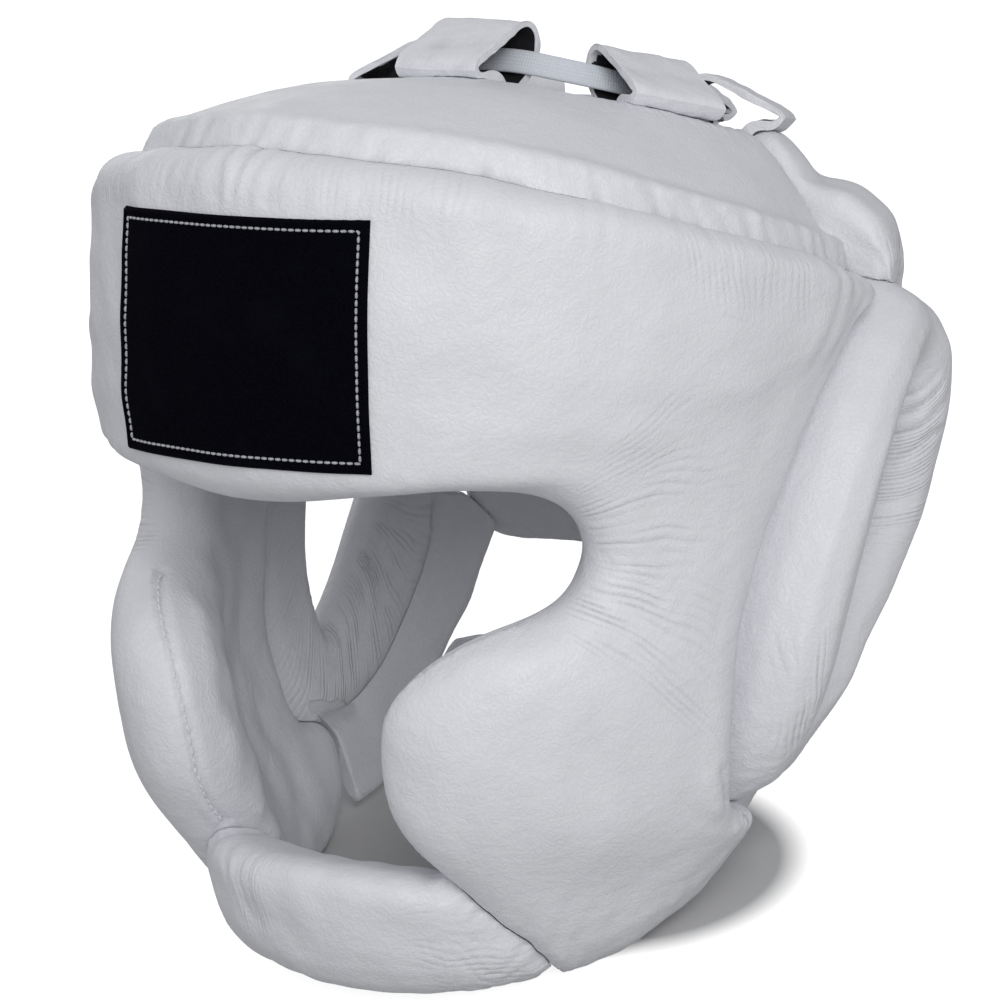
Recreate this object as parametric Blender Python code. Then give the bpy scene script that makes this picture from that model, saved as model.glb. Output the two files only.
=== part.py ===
"""Full-face boxing head guard: padded leather pieces round an open hollow for the head.

Lengths are metres. Everything is first placed as worn (face towards -Y, wearer's left +X, up +Z)
and then tipped back by one parent, so that it rests on both jaws and on the neck strap.
"""

import math

import bmesh
import bpy
import numpy as np
from mathutils import Vector

# Driving sizes
HEIGHT = 0.254
HALF_WIDTH = 0.085
FRONT = 0.103
BACK = 0.097
PAD = 0.032
GAP = 0.0008
CROWN_RADIUS = 0.056
CROWN_SETBACK = 0.032
CROWN_HEIGHT = 0.266
EAR_LENGTH = 0.078
EAR_WIDTH = 0.037
EAR_ARC = 0.100
EAR_ANGLE = 107.0
EAR_HEIGHT = 0.133
EAR_TILT = 20.0
HOLE_LENGTH = 0.049
HOLE_WIDTH = 0.0125
TAB_WIDTH = 0.030
LEATHER = 0.0022
LACE_WIDTH = 0.008
LACE_THICK = 0.0016
PATCH_WIDTH = 0.0908
PATCH_HEIGHT = 0.068
PATCH_THICK = 0.0014
PATCH_ANGLE = 3.0
STRAP_HEIGHT = 0.026
STRAP_CENTRE = 0.256
STRAP_START = (117.2, 128.1)
PRESSED = 0.0010

# Hollow and outer face by height: height of HEIGHT, half widths of HALF_WIDTH,
# fronts of FRONT, backs of BACK.
BODY = (
    # height, in_side, in_front, in_back, out_side, out_front, out_back
    (-0.04, 0.55, 0.56, 0.58, 0.92, 0.90, 0.84),
    (0.00, 0.59, 0.60, 0.62, 0.95, 0.93, 0.88),
    (0.08, 0.67, 0.68, 0.68, 1.01, 0.99, 0.96),
    (0.16, 0.75, 0.76, 0.74, 1.10, 1.06, 1.03),
    (0.24, 0.85, 0.83, 0.81, 1.24, 1.18, 1.10),
    (0.32, 0.92, 0.89, 0.87, 1.30, 1.23, 1.17),
    (0.40, 0.95, 0.93, 0.91, 1.32, 1.26, 1.21),
    (0.51, 0.975, 0.96, 0.96, 1.33, 1.27, 1.26),
    (0.63, 0.995, 0.99, 0.99, 1.35, 1.28, 1.30),
    (0.75, 1.00, 1.00, 1.00, 1.365, 1.30, 1.31),
    (0.90, 0.975, 0.98, 0.97, 1.355, 1.29, 1.28),
    (1.02, 0.91, 0.91, 0.91, 1.33, 1.26, 1.24),
)

# Half of the face shell, from its joint with the chin pad to the middle of the brow. Angles are
# degrees from the front; heights and the sag of a section of HEIGHT; thickness and seams are
# shares of the way from the hollow to the outer face; rounds of PAD.
FACE = (
    # rim_angle, rim_height, edge_angle, edge_height, thick, rim_round, edge_round, rim_seam, edge_seam, sag
    (33.0, 0.175, 55.0, 0.041, 0.86, 0.50, 0.50, 0.50, 0.45, 0.000),
    (27.5, 0.210, 67.0, 0.056, 0.98, 0.72, 0.80, 0.50, 0.42, 0.000),
    (23.8, 0.250, 78.0, 0.082, 1.02, 0.86, 1.00, 0.52, 0.38, 0.006),
    (22.4, 0.285, 87.0, 0.120, 1.02, 0.90, 1.10, 0.52, 0.34, 0.016),
    (22.0, 0.312, 92.0, 0.170, 1.02, 0.90, 1.00, 0.52, 0.30, 0.030),
    (22.0, 0.335, 91.5, 0.222, 1.02, 0.90, 0.72, 0.52, 0.30, 0.044),
    (22.6, 0.362, 84.0, 0.240, 1.02, 0.90, 0.52, 0.52, 0.32, 0.036),
    (25.0, 0.396, 80.0, 0.290, 1.01, 0.88, 0.45, 0.51, 0.34, 0.016),
    (30.0, 0.430, 80.3, 0.345, 0.99, 0.84, 0.42, 0.50, 0.34, 0.004),
    (37.0, 0.458, 83.0, 0.390, 0.96, 0.78, 0.40, 0.48, 0.34, 0.000),
    (45.0, 0.477, 86.0, 0.440, 0.92, 0.68, 0.38, 0.47, 0.34, 0.000),
    (51.5, 0.503, 90.0, 0.495, 0.86, 0.58, 0.38, 0.45, 0.34, 0.000),
    (54.5, 0.545, 95.0, 0.560, 0.83, 0.50, 0.38, 0.43, 0.34, 0.000),
    (52.0, 0.592, 100.0, 0.640, 0.85, 0.50, 0.38, 0.41, 0.34, 0.000),
    (46.0, 0.616, 106.0, 0.720, 0.90, 0.50, 0.36, 0.39, 0.34, 0.000),
    (39.0, 0.623, 110.0, 0.798, 0.95, 0.48, 0.34, 0.38, 0.34, 0.000),
    (32.0, 0.624, 105.0, 0.836, 0.98, 0.45, 0.32, 0.36, 0.34, 0.000),
    (24.0, 0.618, 88.0, 0.864, 1.00, 0.42, 0.27, 0.36, 0.34, 0.000),
    (16.0, 0.610, 62.0, 0.918, 1.00, 0.42, 0.27, 0.36, 0.34, 0.000),
    (8.0, 0.602, 34.0, 0.966, 1.00, 0.42, 0.27, 0.36, 0.34, 0.000),
    (0.0, 0.600, 0.0, 0.988, 1.00, 0.42, 0.27, 0.36, 0.34, 0.000),
)

# Seam between the face shell and the top pad.
GROOVE = (
    # angle, height of HEIGHT
    (0.0, 0.988),
    (34.0, 0.966),
    (62.0, 0.918),
    (88.0, 0.864),
    (105.0, 0.836),
    (112.0, 0.825),
    (125.0, 0.815),
)

# Ear guard, once round its ring: reach of the outline (1 is the ellipse), depths of its outer and
# inner faces.
EAR = (
    # turn, reach, outer, inner, seam
    (0.0, 1.00, 1.28, 0.35, 0.55),
    (30.0, 1.06, 1.48, 0.48, 0.60),
    (60.0, 1.05, 1.44, 0.46, 0.56),
    (85.0, 1.00, 1.26, 0.30, 0.42),
    (105.0, 1.02, 1.02, 0.08, 0.22),
    (130.0, 1.03, 0.80, 0.00, 0.18),
    (155.0, 1.00, 0.70, 0.00, 0.20),
    (180.0, 1.02, 0.76, 0.00, 0.26),
    (205.0, 1.12, 0.98, 0.04, 0.34),
    (235.0, 1.08, 1.20, 0.18, 0.36),
    (270.0, 1.00, 1.28, 0.26, 0.38),
    (300.0, 1.03, 1.28, 0.28, 0.42),
    (330.0, 1.04, 1.28, 0.34, 0.48),
    (360.0, 1.00, 1.28, 0.35, 0.55),
)

# Half of the chin pad, middle first.
CHIN = (
    # top_angle, top_height, low_angle, low_height, thick, top_round, low_round, seam
    (0.0, 0.185, 0.0, 0.020, 0.92, 0.42, 0.55, 0.50),
    (12.0, 0.183, 19.0, 0.021, 0.92, 0.42, 0.55, 0.50),
    (23.0, 0.178, 37.0, 0.028, 0.90, 0.42, 0.55, 0.50),
    (32.2, 0.170, 54.6, 0.043, 0.80, 0.40, 0.48, 0.48),
)

# Half of the back pad, from its joint with the top pad to the middle of the back.
BACK_PAD = (
    # crown_angle, low_angle, low_height, thick, low_round
    (98.2, 113.4, 0.829, 0.84, 0.35),
    (103.0, 118.5, 0.836, 0.92, 0.40),
    (109.0, 126.0, 0.822, 0.98, 0.42),
    (114.0, 131.5, 0.760, 1.00, 0.42),
    (119.0, 133.0, 0.660, 1.00, 0.42),
    (124.0, 131.5, 0.560, 1.00, 0.45),
    (130.0, 131.5, 0.480, 0.98, 0.50),
    (138.0, 137.0, 0.434, 0.95, 0.50),
    (147.0, 147.0, 0.422, 0.93, 0.50),
    (163.0, 163.0, 0.418, 0.92, 0.50),
    (180.0, 180.0, 0.416, 0.92, 0.50),
)

# Panel behind and under the ear guard, from below the back pad round to the jaw: turn round the
# ear outline where a section starts, the place where it ends, thickness.
PANEL = (
    # turn, far_angle, far_height, thick
    (92.0, 135.5, 0.427, 0.22),
    (100.0, 133.5, 0.382, 0.24),
    (110.0, 130.0, 0.332, 0.26),
    (120.0, 125.5, 0.288, 0.27),
    (132.0, 119.0, 0.232, 0.27),
    (145.0, 111.0, 0.165, 0.26),
    (158.0, 102.0, 0.141, 0.24),
    (173.0, 93.6, 0.124, 0.22),
)

# Leather loops round the crown opening: angle round the opening from the front.
TABS = (
    # name, angle
    ("front", 0.0),
    ("left", 65.0),
    ("left_rear", 117.0),
    ("rear", 180.0),
    ("right_rear", -117.0),
    ("right", -65.0),
)


def smooth_rows(rows, count):
    """Rows of a table passed through by smooth curves, as count rows evenly along it."""
    rows = np.array(rows, float)
    place = np.linspace(0.0, len(rows) - 1.0, count)
    first = np.clip(np.floor(place).astype(int), 0, len(rows) - 2)
    part = (place - first)[:, None]
    before = rows[np.maximum(first - 1, 0)]
    here = rows[first]
    there = rows[first + 1]
    after = rows[np.minimum(first + 2, len(rows) - 1)]
    return (
        here
        + 0.5 * part * (there - before)
        + part ** 2 * (before - 2.5 * here + 2.0 * there - 0.5 * after)
        + part ** 3 * (1.5 * (here - there) + 0.5 * (after - before))
    )


BODY_FINE = smooth_rows(BODY, 12 * len(BODY))


def body_at(height):
    """Half width, front and back of the hollow and of the outer face at a height."""
    share = height / HEIGHT
    row = [np.interp(share, BODY_FINE[:, 0], BODY_FINE[:, k]) for k in range(1, 7)]
    scale = (HALF_WIDTH, FRONT, BACK) * 2
    return [value * size for value, size in zip(row, scale)]


def wall(angle, height, depth):
    """A point of the padding: depth 0 on the hollow, 1 on the outer face."""
    in_side, in_front, in_back, out_side, out_front, out_back = body_at(height)
    turn = math.radians(angle)
    ahead = math.cos(turn)
    inner_length = in_front if ahead > 0 else in_back
    outer_length = out_front if ahead > 0 else out_back
    inner = np.array([in_side * math.sin(turn), -inner_length * ahead, height])
    outer = np.array([out_side * math.sin(turn), -outer_length * ahead, height])
    return inner + depth * (outer - inner)


def pad_section(point, length, thick, base, rounds, seams, counts, swell=0.0, taper=1.0):
    """Closed outline of a pad across its width.

    point(share, depth) gives places from the first seam (0) to the second (1); rounds are the
    radii at both seams as lengths, seams their depths, counts the points of a round outside, of
    the middle outside, of a round inside and of the middle inside; a taper over 1 thins the pad
    towards its second seam.
    """
    outer_round, outer_middle, inner_round, inner_middle = counts
    reach = [min(size / length, 0.48) for size in rounds]
    inner_reach = [0.55 * reach[0], min(0.55 * reach[1], 0.006 / length)]
    outline = [point(0.0, seams[0])]
    for k in range(1, outer_round + 1):
        turn = 0.5 * math.pi * k / outer_round
        share = reach[0] * (1.0 - math.cos(turn))
        outline.append(point(share, seams[0] + (thick - seams[0]) * math.sin(turn)))
    for k in range(1, outer_middle + 1):
        part = k / (outer_middle + 1.0)
        share = reach[0] + (1.0 - reach[0] - reach[1]) * part
        outline.append(point(share, thick * (1.0 + swell * math.sin(math.pi * part))))
    for k in range(outer_round, 0, -1):
        turn = 0.5 * math.pi * k / outer_round
        share = 1.0 - reach[1] * (1.0 - math.cos(turn))
        outline.append(point(share, seams[1] + (thick - seams[1]) * math.sin(turn) ** taper))
    outline.append(point(1.0, seams[1]))
    for k in range(1, inner_round + 1):
        turn = 0.5 * math.pi * k / inner_round
        share = 1.0 - inner_reach[1] * (1.0 - math.cos(turn))
        outline.append(point(share, seams[1] - (seams[1] - base) * math.sin(turn)))
    for k in range(1, inner_middle + 1):
        part = k / (inner_middle + 1.0)
        share = 1.0 - inner_reach[1] - (1.0 - inner_reach[0] - inner_reach[1]) * part
        outline.append(point(share, base))
    for k in range(inner_round, 0, -1):
        turn = 0.5 * math.pi * k / inner_round
        share = inner_reach[0] * (1.0 - math.cos(turn))
        outline.append(point(share, seams[0] - (seams[0] - base) * math.sin(turn)))
    return outline


def ear_local(angle, height):
    """Across (rearward) and along (upward) the ear outline."""
    side = math.radians(angle - EAR_ANGLE) * EAR_ARC
    rise = height - EAR_HEIGHT
    lean = math.radians(EAR_TILT)
    return (
        side * math.cos(lean) - rise * math.sin(lean),
        side * math.sin(lean) + rise * math.cos(lean),
    )


def ear_place(across, along):
    lean = math.radians(EAR_TILT)
    side = across * math.cos(lean) + along * math.sin(lean)
    rise = -across * math.sin(lean) + along * math.cos(lean)
    return EAR_ANGLE + math.degrees(side / EAR_ARC), EAR_HEIGHT + rise


def smooth_loop(rows, turn):
    """The other columns of a closed table of turns, at a turn in degrees."""
    rows = np.array(rows, float)
    turn = turn % 360.0
    k = int(np.searchsorted(rows[:, 0], turn, side="right")) - 1
    k = min(k, len(rows) - 2)
    part = (turn - rows[k, 0]) / (rows[k + 1, 0] - rows[k, 0])
    before = rows[k - 1] if k > 0 else rows[-2]
    after = rows[k + 2] if k + 2 < len(rows) else rows[1]
    here = rows[k]
    there = rows[k + 1]
    value = (
        here
        + 0.5 * part * (there - before)
        + part ** 2 * (before - 2.5 * here + 2.0 * there - 0.5 * after)
        + part ** 3 * (1.5 * (here - there) + 0.5 * (after - before))
    )
    return value[1:]


def ear_outline(turn, more=0.0):
    """Across and along of the outline at a turn in degrees, moved out by a length."""
    way = math.radians(turn)
    reach = float(smooth_loop(EAR, turn)[0])
    return (EAR_WIDTH * reach + more) * math.sin(way), (EAR_LENGTH * reach + more) * math.cos(way)


def clear_of_ear(angle, height, more):
    """The place itself, or the one straight out from the ear's middle that is clear of its guard."""
    across, along = ear_local(angle, height)
    turn = math.degrees(math.atan2(across / EAR_WIDTH, along / EAR_LENGTH))
    for _ in range(8):
        edge_across, edge_along = ear_outline(turn, more)
        sine = abs(math.sin(math.radians(turn)))
        cosine = abs(math.cos(math.radians(turn)))
        wide = abs(edge_across) / sine if sine > 1e-6 else EAR_WIDTH
        tall = abs(edge_along) / cosine if cosine > 1e-6 else EAR_LENGTH
        turn = math.degrees(math.atan2(across / wide, along / tall))
    edge_across, edge_along = ear_outline(turn, more)
    if math.hypot(across, along) >= math.hypot(edge_across, edge_along):
        return angle, height
    return ear_place(edge_across, edge_along)


def crown_height(angle):
    """Top of the pads at the crown opening: lower towards the rear."""
    behind = CROWN_SETBACK - CROWN_RADIUS * math.cos(math.radians(angle)) - (CROWN_SETBACK - CROWN_RADIUS)
    return CROWN_HEIGHT - 0.165 * behind - 0.005 * math.sin(math.radians(angle)) ** 2


def crown_place(angle, radius, height):
    turn = math.radians(angle)
    return np.array([radius * math.sin(turn), CROWN_SETBACK - radius * math.cos(turn), height])


def crown_angle_of(place):
    return math.degrees(math.atan2(place[0], CROWN_SETBACK - place[1]))


def crown_radius_of(place):
    return math.hypot(place[0], CROWN_SETBACK - place[1])


def rings_to_mesh(name, rings, closed, colour, rough=0.5):
    """A tube of outlines: closed on itself, or with both ends capped."""
    per = len(rings[0])
    points = [tuple(p) for ring in rings for p in ring]
    faces = []
    last = len(rings) if closed else len(rings) - 1
    for i in range(last):
        j = (i + 1) % len(rings)
        for k in range(per):
            m = (k + 1) % per
            faces.append((i * per + k, i * per + m, j * per + m, j * per + k))
    if not closed:
        for i, flip in ((0, True), (len(rings) - 1, False)):
            middle = len(points)
            points.append(tuple(np.mean(rings[i], axis=0)))
            for k in range(per):
                m = (k + 1) % per
                a, b = i * per + k, i * per + m
                faces.append((middle, b, a) if flip else (middle, a, b))
    return add_mesh(name, points, faces, colour, rough)


def add_mesh(name, points, faces, colour, rough=0.5):
    data = bpy.data.meshes.new(name)
    data.from_pydata(points, [], faces)
    data.update()
    volume = 0.0
    for polygon in data.polygons:
        corners = [data.vertices[v].co for v in polygon.vertices]
        for k in range(1, len(corners) - 1):
            volume += corners[0].dot(corners[k].cross(corners[k + 1]))
    if volume < 0.0:
        data.flip_normals()
    for polygon in data.polygons:
        polygon.use_smooth = True
    thing = bpy.data.objects.new(name, data)
    bpy.context.scene.collection.objects.link(thing)
    material = bpy.data.materials.new(name)
    material.use_nodes = True
    shader = material.node_tree.nodes["Principled BSDF"]
    shader.inputs["Base Color"].default_value = (*colour, 1.0)
    shader.inputs["Roughness"].default_value = rough
    data.materials.append(material)
    thing.parent = stand
    return thing


def mirrored_rows(rows, angle_columns):
    """Rows of half a band, given from its end to its middle, with the other half added."""
    other = []
    for row in rows[-2::-1]:
        row = list(row)
        for k in angle_columns:
            row[k] = -row[k]
        other.append(row)
    return [list(row) for row in rows] + other


def side_by_sign(angle, height, more):
    """clear_of_ear for either side of the head."""
    sign = -1.0 if angle < 0.0 else 1.0
    clear_angle, clear_height = clear_of_ear(abs(angle), height, more)
    return sign * clear_angle, clear_height


def wall_line(start, end, sag=0.0):
    """Places between two (angle, height) pairs, as a function of share and depth."""

    def point(share, depth):
        angle = start[0] + (end[0] - start[0]) * share
        height = start[1] + (end[1] - start[1]) * share
        return wall(angle, height - sag * math.sin(math.pi * share * share), depth)

    return point


def make_face_shell():
    rings = []
    for row in smooth_rows(mirrored_rows(FACE, (0, 2)), 79):
        rim_angle, rim_height, edge_angle, edge_height, thick, rim_round, edge_round, rim_seam, edge_seam, sag = row
        edge = side_by_sign(edge_angle, edge_height * HEIGHT, 1.6 * GAP)
        line = wall_line((rim_angle, rim_height * HEIGHT), edge, sag * HEIGHT)
        length = float(np.linalg.norm(line(1.0, 0.6) - line(0.0, 0.6)))
        rings.append(
            pad_section(
                line,
                length,
                thick,
                0.0,
                (rim_round * PAD, edge_round * PAD),
                (rim_seam * thick, edge_seam),
                (4, 3, 2, 2),
                0.03,
                1.0 + 0.4 * min(1.0, max(0.0, edge_round - 0.6)),
            )
        )
    rings_to_mesh("face_shell", rings, False, WHITE)


def make_chin_pad():
    half = [list(row) for row in CHIN]
    other = [[-row[0], row[1], -row[2]] + row[3:] for row in half[:0:-1]]
    rings = []
    for top_angle, top_height, low_angle, low_height, thick, top_round, low_round, seam in smooth_rows(other + half, 25):
        line = wall_line((top_angle, top_height * HEIGHT), (low_angle, low_height * HEIGHT))
        length = float(np.linalg.norm(line(1.0, 0.6) - line(0.0, 0.6)))
        rings.append(
            pad_section(
                line,
                length,
                thick,
                0.0,
                (top_round * PAD, low_round * PAD),
                (seam, seam),
                (4, 1, 2, 1),
                0.0,
            )
        )
    rings_to_mesh("chin_pad", rings, False, WHITE)


def groove_height(angle):
    """Height of the seam between face shell and top pad."""
    rows = smooth_rows(GROOVE, 120)
    return float(np.interp(abs(angle), rows[:, 0], rows[:, 1])) * HEIGHT


def dome_section(low, crown_angle, seam_depth, out_depth, shoulder, counts):
    """Outline of a pad that runs up the wall from low and over to the crown opening."""
    low_angle, low_height = low
    top_height = crown_height(crown_angle)
    edge_thick = 0.55 * PAD
    outline = []
    seam = wall(low_angle, low_height, seam_depth)
    side = wall(low_angle, low_height, out_depth)
    radius_seam = crown_radius_of(seam)
    radius_side = crown_radius_of(side)
    angle_low = crown_angle_of(side)
    if angle_low - crown_angle > 180.0:
        angle_low -= 360.0
    if crown_angle - angle_low > 180.0:
        angle_low += 360.0
    outer_round, middle, inner_middle = counts
    across, rise = shoulder

    def spot(share, radius, height):
        angle = angle_low + (crown_angle - angle_low) * share
        return crown_place(angle, radius, height)

    outline.append(seam)
    for k in range(1, outer_round + 1):
        turn = 0.5 * math.pi * k / outer_round
        radius = radius_side - across + across * math.cos(turn)
        if k == 1:
            radius = radius_seam + (radius_side - radius_seam) * math.sin(2.0 * turn)
        outline.append(spot(0.0, radius, low_height + rise * math.sin(turn)))
    start = np.array([radius_side - across, low_height + rise])
    end = np.array([CROWN_RADIUS + 0.006, top_height])
    for k in range(1, middle + 1):
        part = k / (middle + 1.0)
        radius, height = start + (end - start) * part
        height += 0.003 * math.sin(math.pi * part)
        outline.append(spot(part, radius, height))
    for k in range(0, 4):
        turn = math.pi * k / 3.0
        radius = CROWN_RADIUS + 0.006 - 0.006 * math.sin(turn)
        height = top_height - 0.5 * edge_thick * (1.0 - math.cos(turn))
        outline.append(spot(1.0, radius, height))
    inner = crown_radius_of(wall(low_angle, low_height, 0.0))
    start = np.array([CROWN_RADIUS + 0.006, top_height - edge_thick])
    corner = np.array([inner - 0.004, top_height - edge_thick - 0.004])
    end = np.array([inner, low_height])
    for k in range(1, inner_middle + 1):
        part = k / (inner_middle + 1.0)
        radius, height = (1 - part) ** 2 * start + 2 * part * (1 - part) * corner + part ** 2 * end
        outline.append(spot(1.0 - part, radius, max(height, low_height + 0.0004 * (inner_middle + 1 - k))))
    outline.append(wall(low_angle, low_height, 0.0))
    return outline


def make_top_pad():
    rings = []
    reach = 96.0
    for angle in np.linspace(-reach, reach, 41):
        place = low_wall_angle(angle)
        low = (place, groove_height(place) + GAP)
        rings.append(dome_section(low, angle, 0.34, 0.66, (0.011, 0.0085), (4, 4, 4)))
    rings_to_mesh("top_pad", rings, False, WHITE)


def low_wall_angle(crown_angle):
    """Wall angle whose outer place lies at this angle round the crown opening."""
    sign = -1.0 if crown_angle < 0.0 else 1.0
    low, high = 0.0, 180.0
    for _ in range(40):
        middle = 0.5 * (low + high)
        if crown_angle_of(wall(middle, 0.9 * HEIGHT, 0.66)) < abs(crown_angle):
            low = middle
        else:
            high = middle
    return sign * 0.5 * (low + high)


def make_back_pad():
    half = [list(row) for row in BACK_PAD]
    other = [[360.0 - row[0], 360.0 - row[1]] + row[2:] for row in half[-2::-1]]
    rings = []
    for crown_angle, low_angle, low_height, thick, low_round in smooth_rows(half + other, 33):
        mirrored = low_angle > 180.0
        angle, height = clear_of_ear(360.0 - low_angle if mirrored else low_angle, low_height * HEIGHT, 3.0 * GAP)
        angle = 360.0 - angle if mirrored else angle
        rings.append(back_section((angle, height), crown_angle, thick, low_round * PAD))
    rings_to_mesh("back_pad", rings, False, WHITE)


def back_section(low, crown_angle, thick, low_round):
    """Up the back from low, over the shoulder and in to the crown opening, then down the inside."""
    low_angle, low_height = low
    mirrored = crown_angle > 180.0
    top_angle = low_wall_angle(360.0 - crown_angle if mirrored else crown_angle)
    top_angle = 360.0 - top_angle if mirrored else top_angle
    shoulder_height = 0.845 * HEIGHT
    top = crown_height(crown_angle)
    edge_thick = 0.55 * PAD
    span = shoulder_height - low_height
    turn_in = min(1.0, low_round / max(span, 0.012))
    outline = [wall(low_angle, low_height, 0.45)]

    def up(share, depth):
        height = low_height + span * share
        return wall(low_angle + (top_angle - low_angle) * share, height, depth)

    for k in range(1, 4):
        turn = 0.5 * math.pi * k / 3.0
        outline.append(up(0.8 * turn_in * (1.0 - math.cos(turn)), 0.45 + (thick - 0.45) * math.sin(turn)))
    for k in range(1, 4):
        part = 0.8 * turn_in + (1.0 - 0.8 * turn_in) * k / 3.0
        outline.append(up(part, thick * (1.0 + 0.03 * math.sin(math.pi * part))))
    side = up(1.0, thick)
    radius_side = crown_radius_of(side)
    angle_side = crown_angle
    end = np.array([CROWN_RADIUS + 0.006, top])
    across = min(0.026, 0.7 * (radius_side - end[0]))
    rise = min(0.020, max(0.006, top - 0.003 - shoulder_height))
    for k in range(1, 4):
        turn = 0.5 * math.pi * k / 3.0
        radius = radius_side - across * (1.0 - math.cos(turn))
        outline.append(crown_place(angle_side, radius, shoulder_height + rise * math.sin(turn)))
    start = np.array([radius_side - across, shoulder_height + rise])
    for k in range(1, 3):
        part = k / 3.0
        radius, height = start + (end - start) * part
        outline.append(crown_place(crown_angle, radius, height + 0.002 * math.sin(math.pi * part)))
    for k in range(0, 4):
        turn = math.pi * k / 3.0
        radius = end[0] - 0.006 * math.sin(turn)
        outline.append(crown_place(crown_angle, radius, top - 0.5 * edge_thick * (1.0 - math.cos(turn))))
    inner = crown_radius_of(up(1.0, 0.0))
    inside = np.array([inner - 0.002, top - edge_thick - 0.003])
    start = np.array([end[0], top - edge_thick])
    finish = np.array([inner, min(shoulder_height, top - edge_thick - 0.008)])
    for k in range(1, 4):
        part = k / 4.0
        radius, height = (1 - part) ** 2 * start + 2 * part * (1 - part) * inside + part ** 2 * finish
        outline.append(crown_place(crown_angle, radius, height))
    top_share = (finish[1] - low_height) / span
    for k in range(0, 4):
        part = top_share * (1.0 - k / 4.0)
        outline.append(up(max(part, 0.02), 0.0))
    outline.append(up(0.01, 0.12))
    return outline


def make_ear_guard(side):
    rings = []
    for turn in np.linspace(0.0, 360.0, 41)[:-1]:
        way = math.radians(turn)
        reach, outer, inner, outer_seam = smooth_loop(EAR, turn)
        edge = ear_outline(turn)
        hole = (
            HOLE_WIDTH * math.sin(way) * (1.0 + 0.38 * math.cos(way)),
            HOLE_LENGTH * math.cos(way) - 0.002,
        )

        def point(share, depth, edge=edge, hole=hole):
            across = edge[0] + (hole[0] - edge[0]) * share
            along = edge[1] + (hole[1] - edge[1]) * share
            angle, height = ear_place(across, along)
            return wall(side * angle, height, depth)

        middle = 0.5 * (outer + inner)
        length = float(np.linalg.norm(point(1.0, middle) - point(0.0, middle)))
        rings.append(
            pad_section(
                point,
                length,
                outer,
                inner,
                (0.47 * length, 0.47 * length),
                (outer_seam, middle),
                (3, 1, 2, 1),
                0.0,
            )
        )
    rings_to_mesh("ear_guard_left" if side > 0 else "ear_guard_right", rings, True, WHITE)


def make_ear_panel(side):
    rings = []
    for turn, far_angle, far_height, thick in smooth_rows(PANEL, 15):
        near = ear_place(*ear_outline(turn, GAP))
        far = (far_angle, far_height * HEIGHT)
        lift = max(0.0, float(smooth_loop(EAR, turn)[3]) - 0.12)

        def point(share, depth, near=near, far=far, lift=lift):
            angle = near[0] + (far[0] - near[0]) * share
            return wall(side * angle, near[1] + (far[1] - near[1]) * share, depth + lift * (1.0 - share))

        length = float(np.linalg.norm(point(1.0, 0.1) - point(0.0, 0.1)))
        rings.append(
            pad_section(point, length, thick, 0.0, (0.005, 0.005), (0.5 * thick, 0.5 * thick), (2, 1, 2, 1))
        )
    rings_to_mesh("ear_panel_left" if side > 0 else "ear_panel_right", rings, False, WHITE)


def make_neck_strap():
    rings = []
    for share in np.linspace(-1.0, 1.0, 19):
        low_angle = 180.0 + share * (180.0 - STRAP_START[0])
        high_angle = 180.0 + share * (180.0 - STRAP_START[1])
        centre = STRAP_CENTRE + 0.006 * math.cos(0.5 * math.pi * share)
        low = (low_angle, centre * HEIGHT - 0.5 * STRAP_HEIGHT)
        high = (high_angle, centre * HEIGHT + 0.5 * STRAP_HEIGHT)
        line = wall_line(low, high)
        length = float(np.linalg.norm(line(1.0, 0.1) - line(0.0, 0.1)))
        rings.append(pad_section(line, length, 0.24, 0.02, (0.004, 0.004), (0.12, 0.12), (2, 1, 2, 1)))
    rings_to_mesh("neck_strap", rings, False, WHITE)


def face_depth(angle, height):
    """Depth of the brow's outer face at a place."""
    rows = smooth_rows(mirrored_rows(FACE, (0, 2)), 801)[290:511]
    shares = (height / HEIGHT - rows[:, 1]) / (rows[:, 3] - rows[:, 1])
    angles = rows[:, 0] + (rows[:, 2] - rows[:, 0]) * shares
    order = np.argsort(angles)
    k = float(np.interp(angle, angles[order], order))
    row = rows[int(round(k))]
    share = float(shares[int(round(k))])
    length = abs(row[3] - row[1]) * HEIGHT
    reach = row[5] * PAD / length
    seam = row[7] * row[4]
    if share < reach:
        part = max(share, 0.0) / reach
        return seam + (row[4] - seam) * math.sqrt(max(0.0, 1.0 - (1.0 - part) ** 2))
    return row[4] * (1.0 + 0.03 * math.sin(math.pi * min(1.0, (share - reach) / (1.0 - 2.0 * reach))))


def make_patch():
    columns, lines = 13, 9
    low, high = 0.650 * HEIGHT, 0.650 * HEIGHT + PATCH_HEIGHT
    half = math.degrees(0.5 * PATCH_WIDTH / 0.1215)
    front, back = [], []
    for j in range(lines):
        height = low + (high - low) * j / (lines - 1)
        for i in range(columns):
            angle = PATCH_ANGLE - half + 2.0 * half * i / (columns - 1)
            depth = face_depth(angle, height) + 0.0010 / PAD
            back.append(wall(angle, height, depth))
            front.append(wall(angle, height, depth + PATCH_THICK / PAD))
    faces = []
    count = columns * lines
    for j in range(lines - 1):
        for i in range(columns - 1):
            a = j * columns + i
            faces.append((a, a + 1, a + columns + 1, a + columns))
            faces.append((count + a, count + a + columns, count + a + columns + 1, count + a + 1))
    border = (
        [i for i in range(columns)]
        + [j * columns + columns - 1 for j in range(1, lines)]
        + [(lines - 1) * columns + i for i in range(columns - 2, -1, -1)]
        + [j * columns for j in range(lines - 2, 0, -1)]
    )
    for k, a in enumerate(border):
        b = border[(k + 1) % len(border)]
        faces.append((b, a, count + a, count + b))
    add_mesh("forehead_patch", [tuple(p) for p in front + back], faces, (0.02, 0.02, 0.03), 0.8)


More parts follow.
